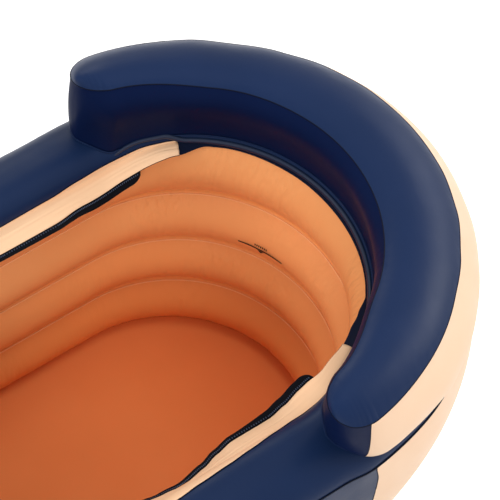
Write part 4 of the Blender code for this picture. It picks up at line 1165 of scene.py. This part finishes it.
def seen_rays(tree):
    """1 for camera, glossy and transmission rays, 0 for the rest."""
    path = add(tree, "ShaderNodeLightPath")
    value = path.outputs["Is Camera Ray"]
    for name in ("Is Glossy Ray", "Is Transmission Ray"):
        value = joined(tree, "MAXIMUM", value, path.outputs[name])
    return value


def make_stage():
    """A wide floor that takes the shadow and looks white."""
    mesh = bpy.data.meshes.new("studio_floor")
    size = 14.0
    corners = [(-size, -size, 0), (size, -size, 0), (size, size, 0), (-size, size, 0)]
    mesh.from_pydata(corners, [], [(0, 1, 2, 3)])
    floor = bpy.data.objects.new("studio_floor", mesh)
    floor.location.z = -0.0012
    bpy.context.scene.collection.objects.link(floor)
    material = bpy.data.materials.new("studio_floor")
    material.use_nodes = True
    tree = material.node_tree
    tree.nodes.clear()
    out = add(tree, "ShaderNodeOutputMaterial")
    diffuse = add(tree, "ShaderNodeBsdfDiffuse")
    diffuse.inputs["Color"].default_value = (0.78, 0.78, 0.78, 1.0)
    glow = add(tree, "ShaderNodeEmission")
    level = add(tree, "ShaderNodeMath", operation="MULTIPLY")
    level.inputs[1].default_value = 0.50
    tree.links.new(seen_rays(tree), level.inputs[0])
    tree.links.new(level.outputs["Value"], glow.inputs["Strength"])
    both = add(tree, "ShaderNodeAddShader")
    tree.links.new(diffuse.outputs["BSDF"], both.inputs[0])
    tree.links.new(glow.outputs["Emission"], both.inputs[1])
    tree.links.new(both.outputs["Shader"], out.inputs["Surface"])
    mesh.materials.append(material)


def make_world():
    """White where it is seen, and softer as light."""
    world = bpy.data.worlds.new("studio")
    bpy.context.scene.world = world
    world.use_nodes = True
    tree = world.node_tree
    back = tree.nodes["Background"]
    back.inputs["Color"].default_value = (1.0, 1.0, 1.0, 1.0)
    level = add(tree, "ShaderNodeMapRange")
    level.inputs["To Min"].default_value = 0.36
    level.inputs["To Max"].default_value = 1.0
    tree.links.new(seen_rays(tree), level.inputs["Value"])
    tree.links.new(level.outputs["Result"], back.inputs["Strength"])


# Name, position, target, size, power, and whether it lights gloss and diffuse colour
LAMPS = [
    ("front", (-2.6, -3.0, 2.9), (0.1, 0.0, 0.2), 2.4, 101.0, False, True),
    ("left", (-3.6, 2.2, 3.0), (0.1, 0.0, 0.2), 2.4, 101.0, False, True),
    ("over", (1.0, -0.2, 4.3), (0.0, 0.0, 0.2), 2.6, 66.0, False, True),
    ("right", (4.3, -1.5, 2.4), (0.5, 0.0, 0.45), 1.8, 84.0, True, True),
    ("behind", (1.4, 3.8, 2.6), (0.3, 0.0, 0.4), 2.0, 28.0, True, True),
    ("shine", (4.0, 0.5, 2.0), (0.5, 0.0, 0.45), 1.8, 40.0, True, False),
]


def area_light(name, position, target, size, power, gloss, diffuse):
    data = bpy.data.lights.new(name, "AREA")
    data.shape = "SQUARE"
    data.size = size
    data.energy = power
    lamp = bpy.data.objects.new(name, data)
    lamp.location = position
    lamp.visible_glossy = gloss
    lamp.visible_diffuse = diffuse
    lamp.rotation_euler = (Vector(target) - Vector(position)).to_track_quat("-Z", "Y").to_euler()
    bpy.context.scene.collection.objects.link(lamp)


def make_camera():
    data = bpy.data.cameras.new("camera")
    data.lens = 230.6
    data.sensor_width = 36.0
    camera = bpy.data.objects.new("camera", data)
    right = Vector((0.79633, -0.59742, 0.09458))
    up = Vector((0.45936, 0.69906, 0.54801))
    back = Vector((-0.39350, -0.39295, 0.83111))
    matrix = Matrix((right, up, back)).transposed().to_4x4()
    matrix.translation = Vector((-1.4697, -1.9099, 4.5195))
    camera.matrix_world = matrix
    bpy.context.scene.collection.objects.link(camera)
    bpy.context.scene.camera = camera


def main():
    make_camera()
    make_inner_wall()
    make_floor()
    make_outer_walls()
    make_webs()
    make_rim()
    make_piping()
    make_backrest()
    make_flanges()
    make_cover()
    make_mark()
    finish_hard_nodes()
    make_stage()
    make_world()
    for lamp in LAMPS:
        area_light(*lamp)
    bpy.context.scene.view_settings.view_transform = "Standard"


main()
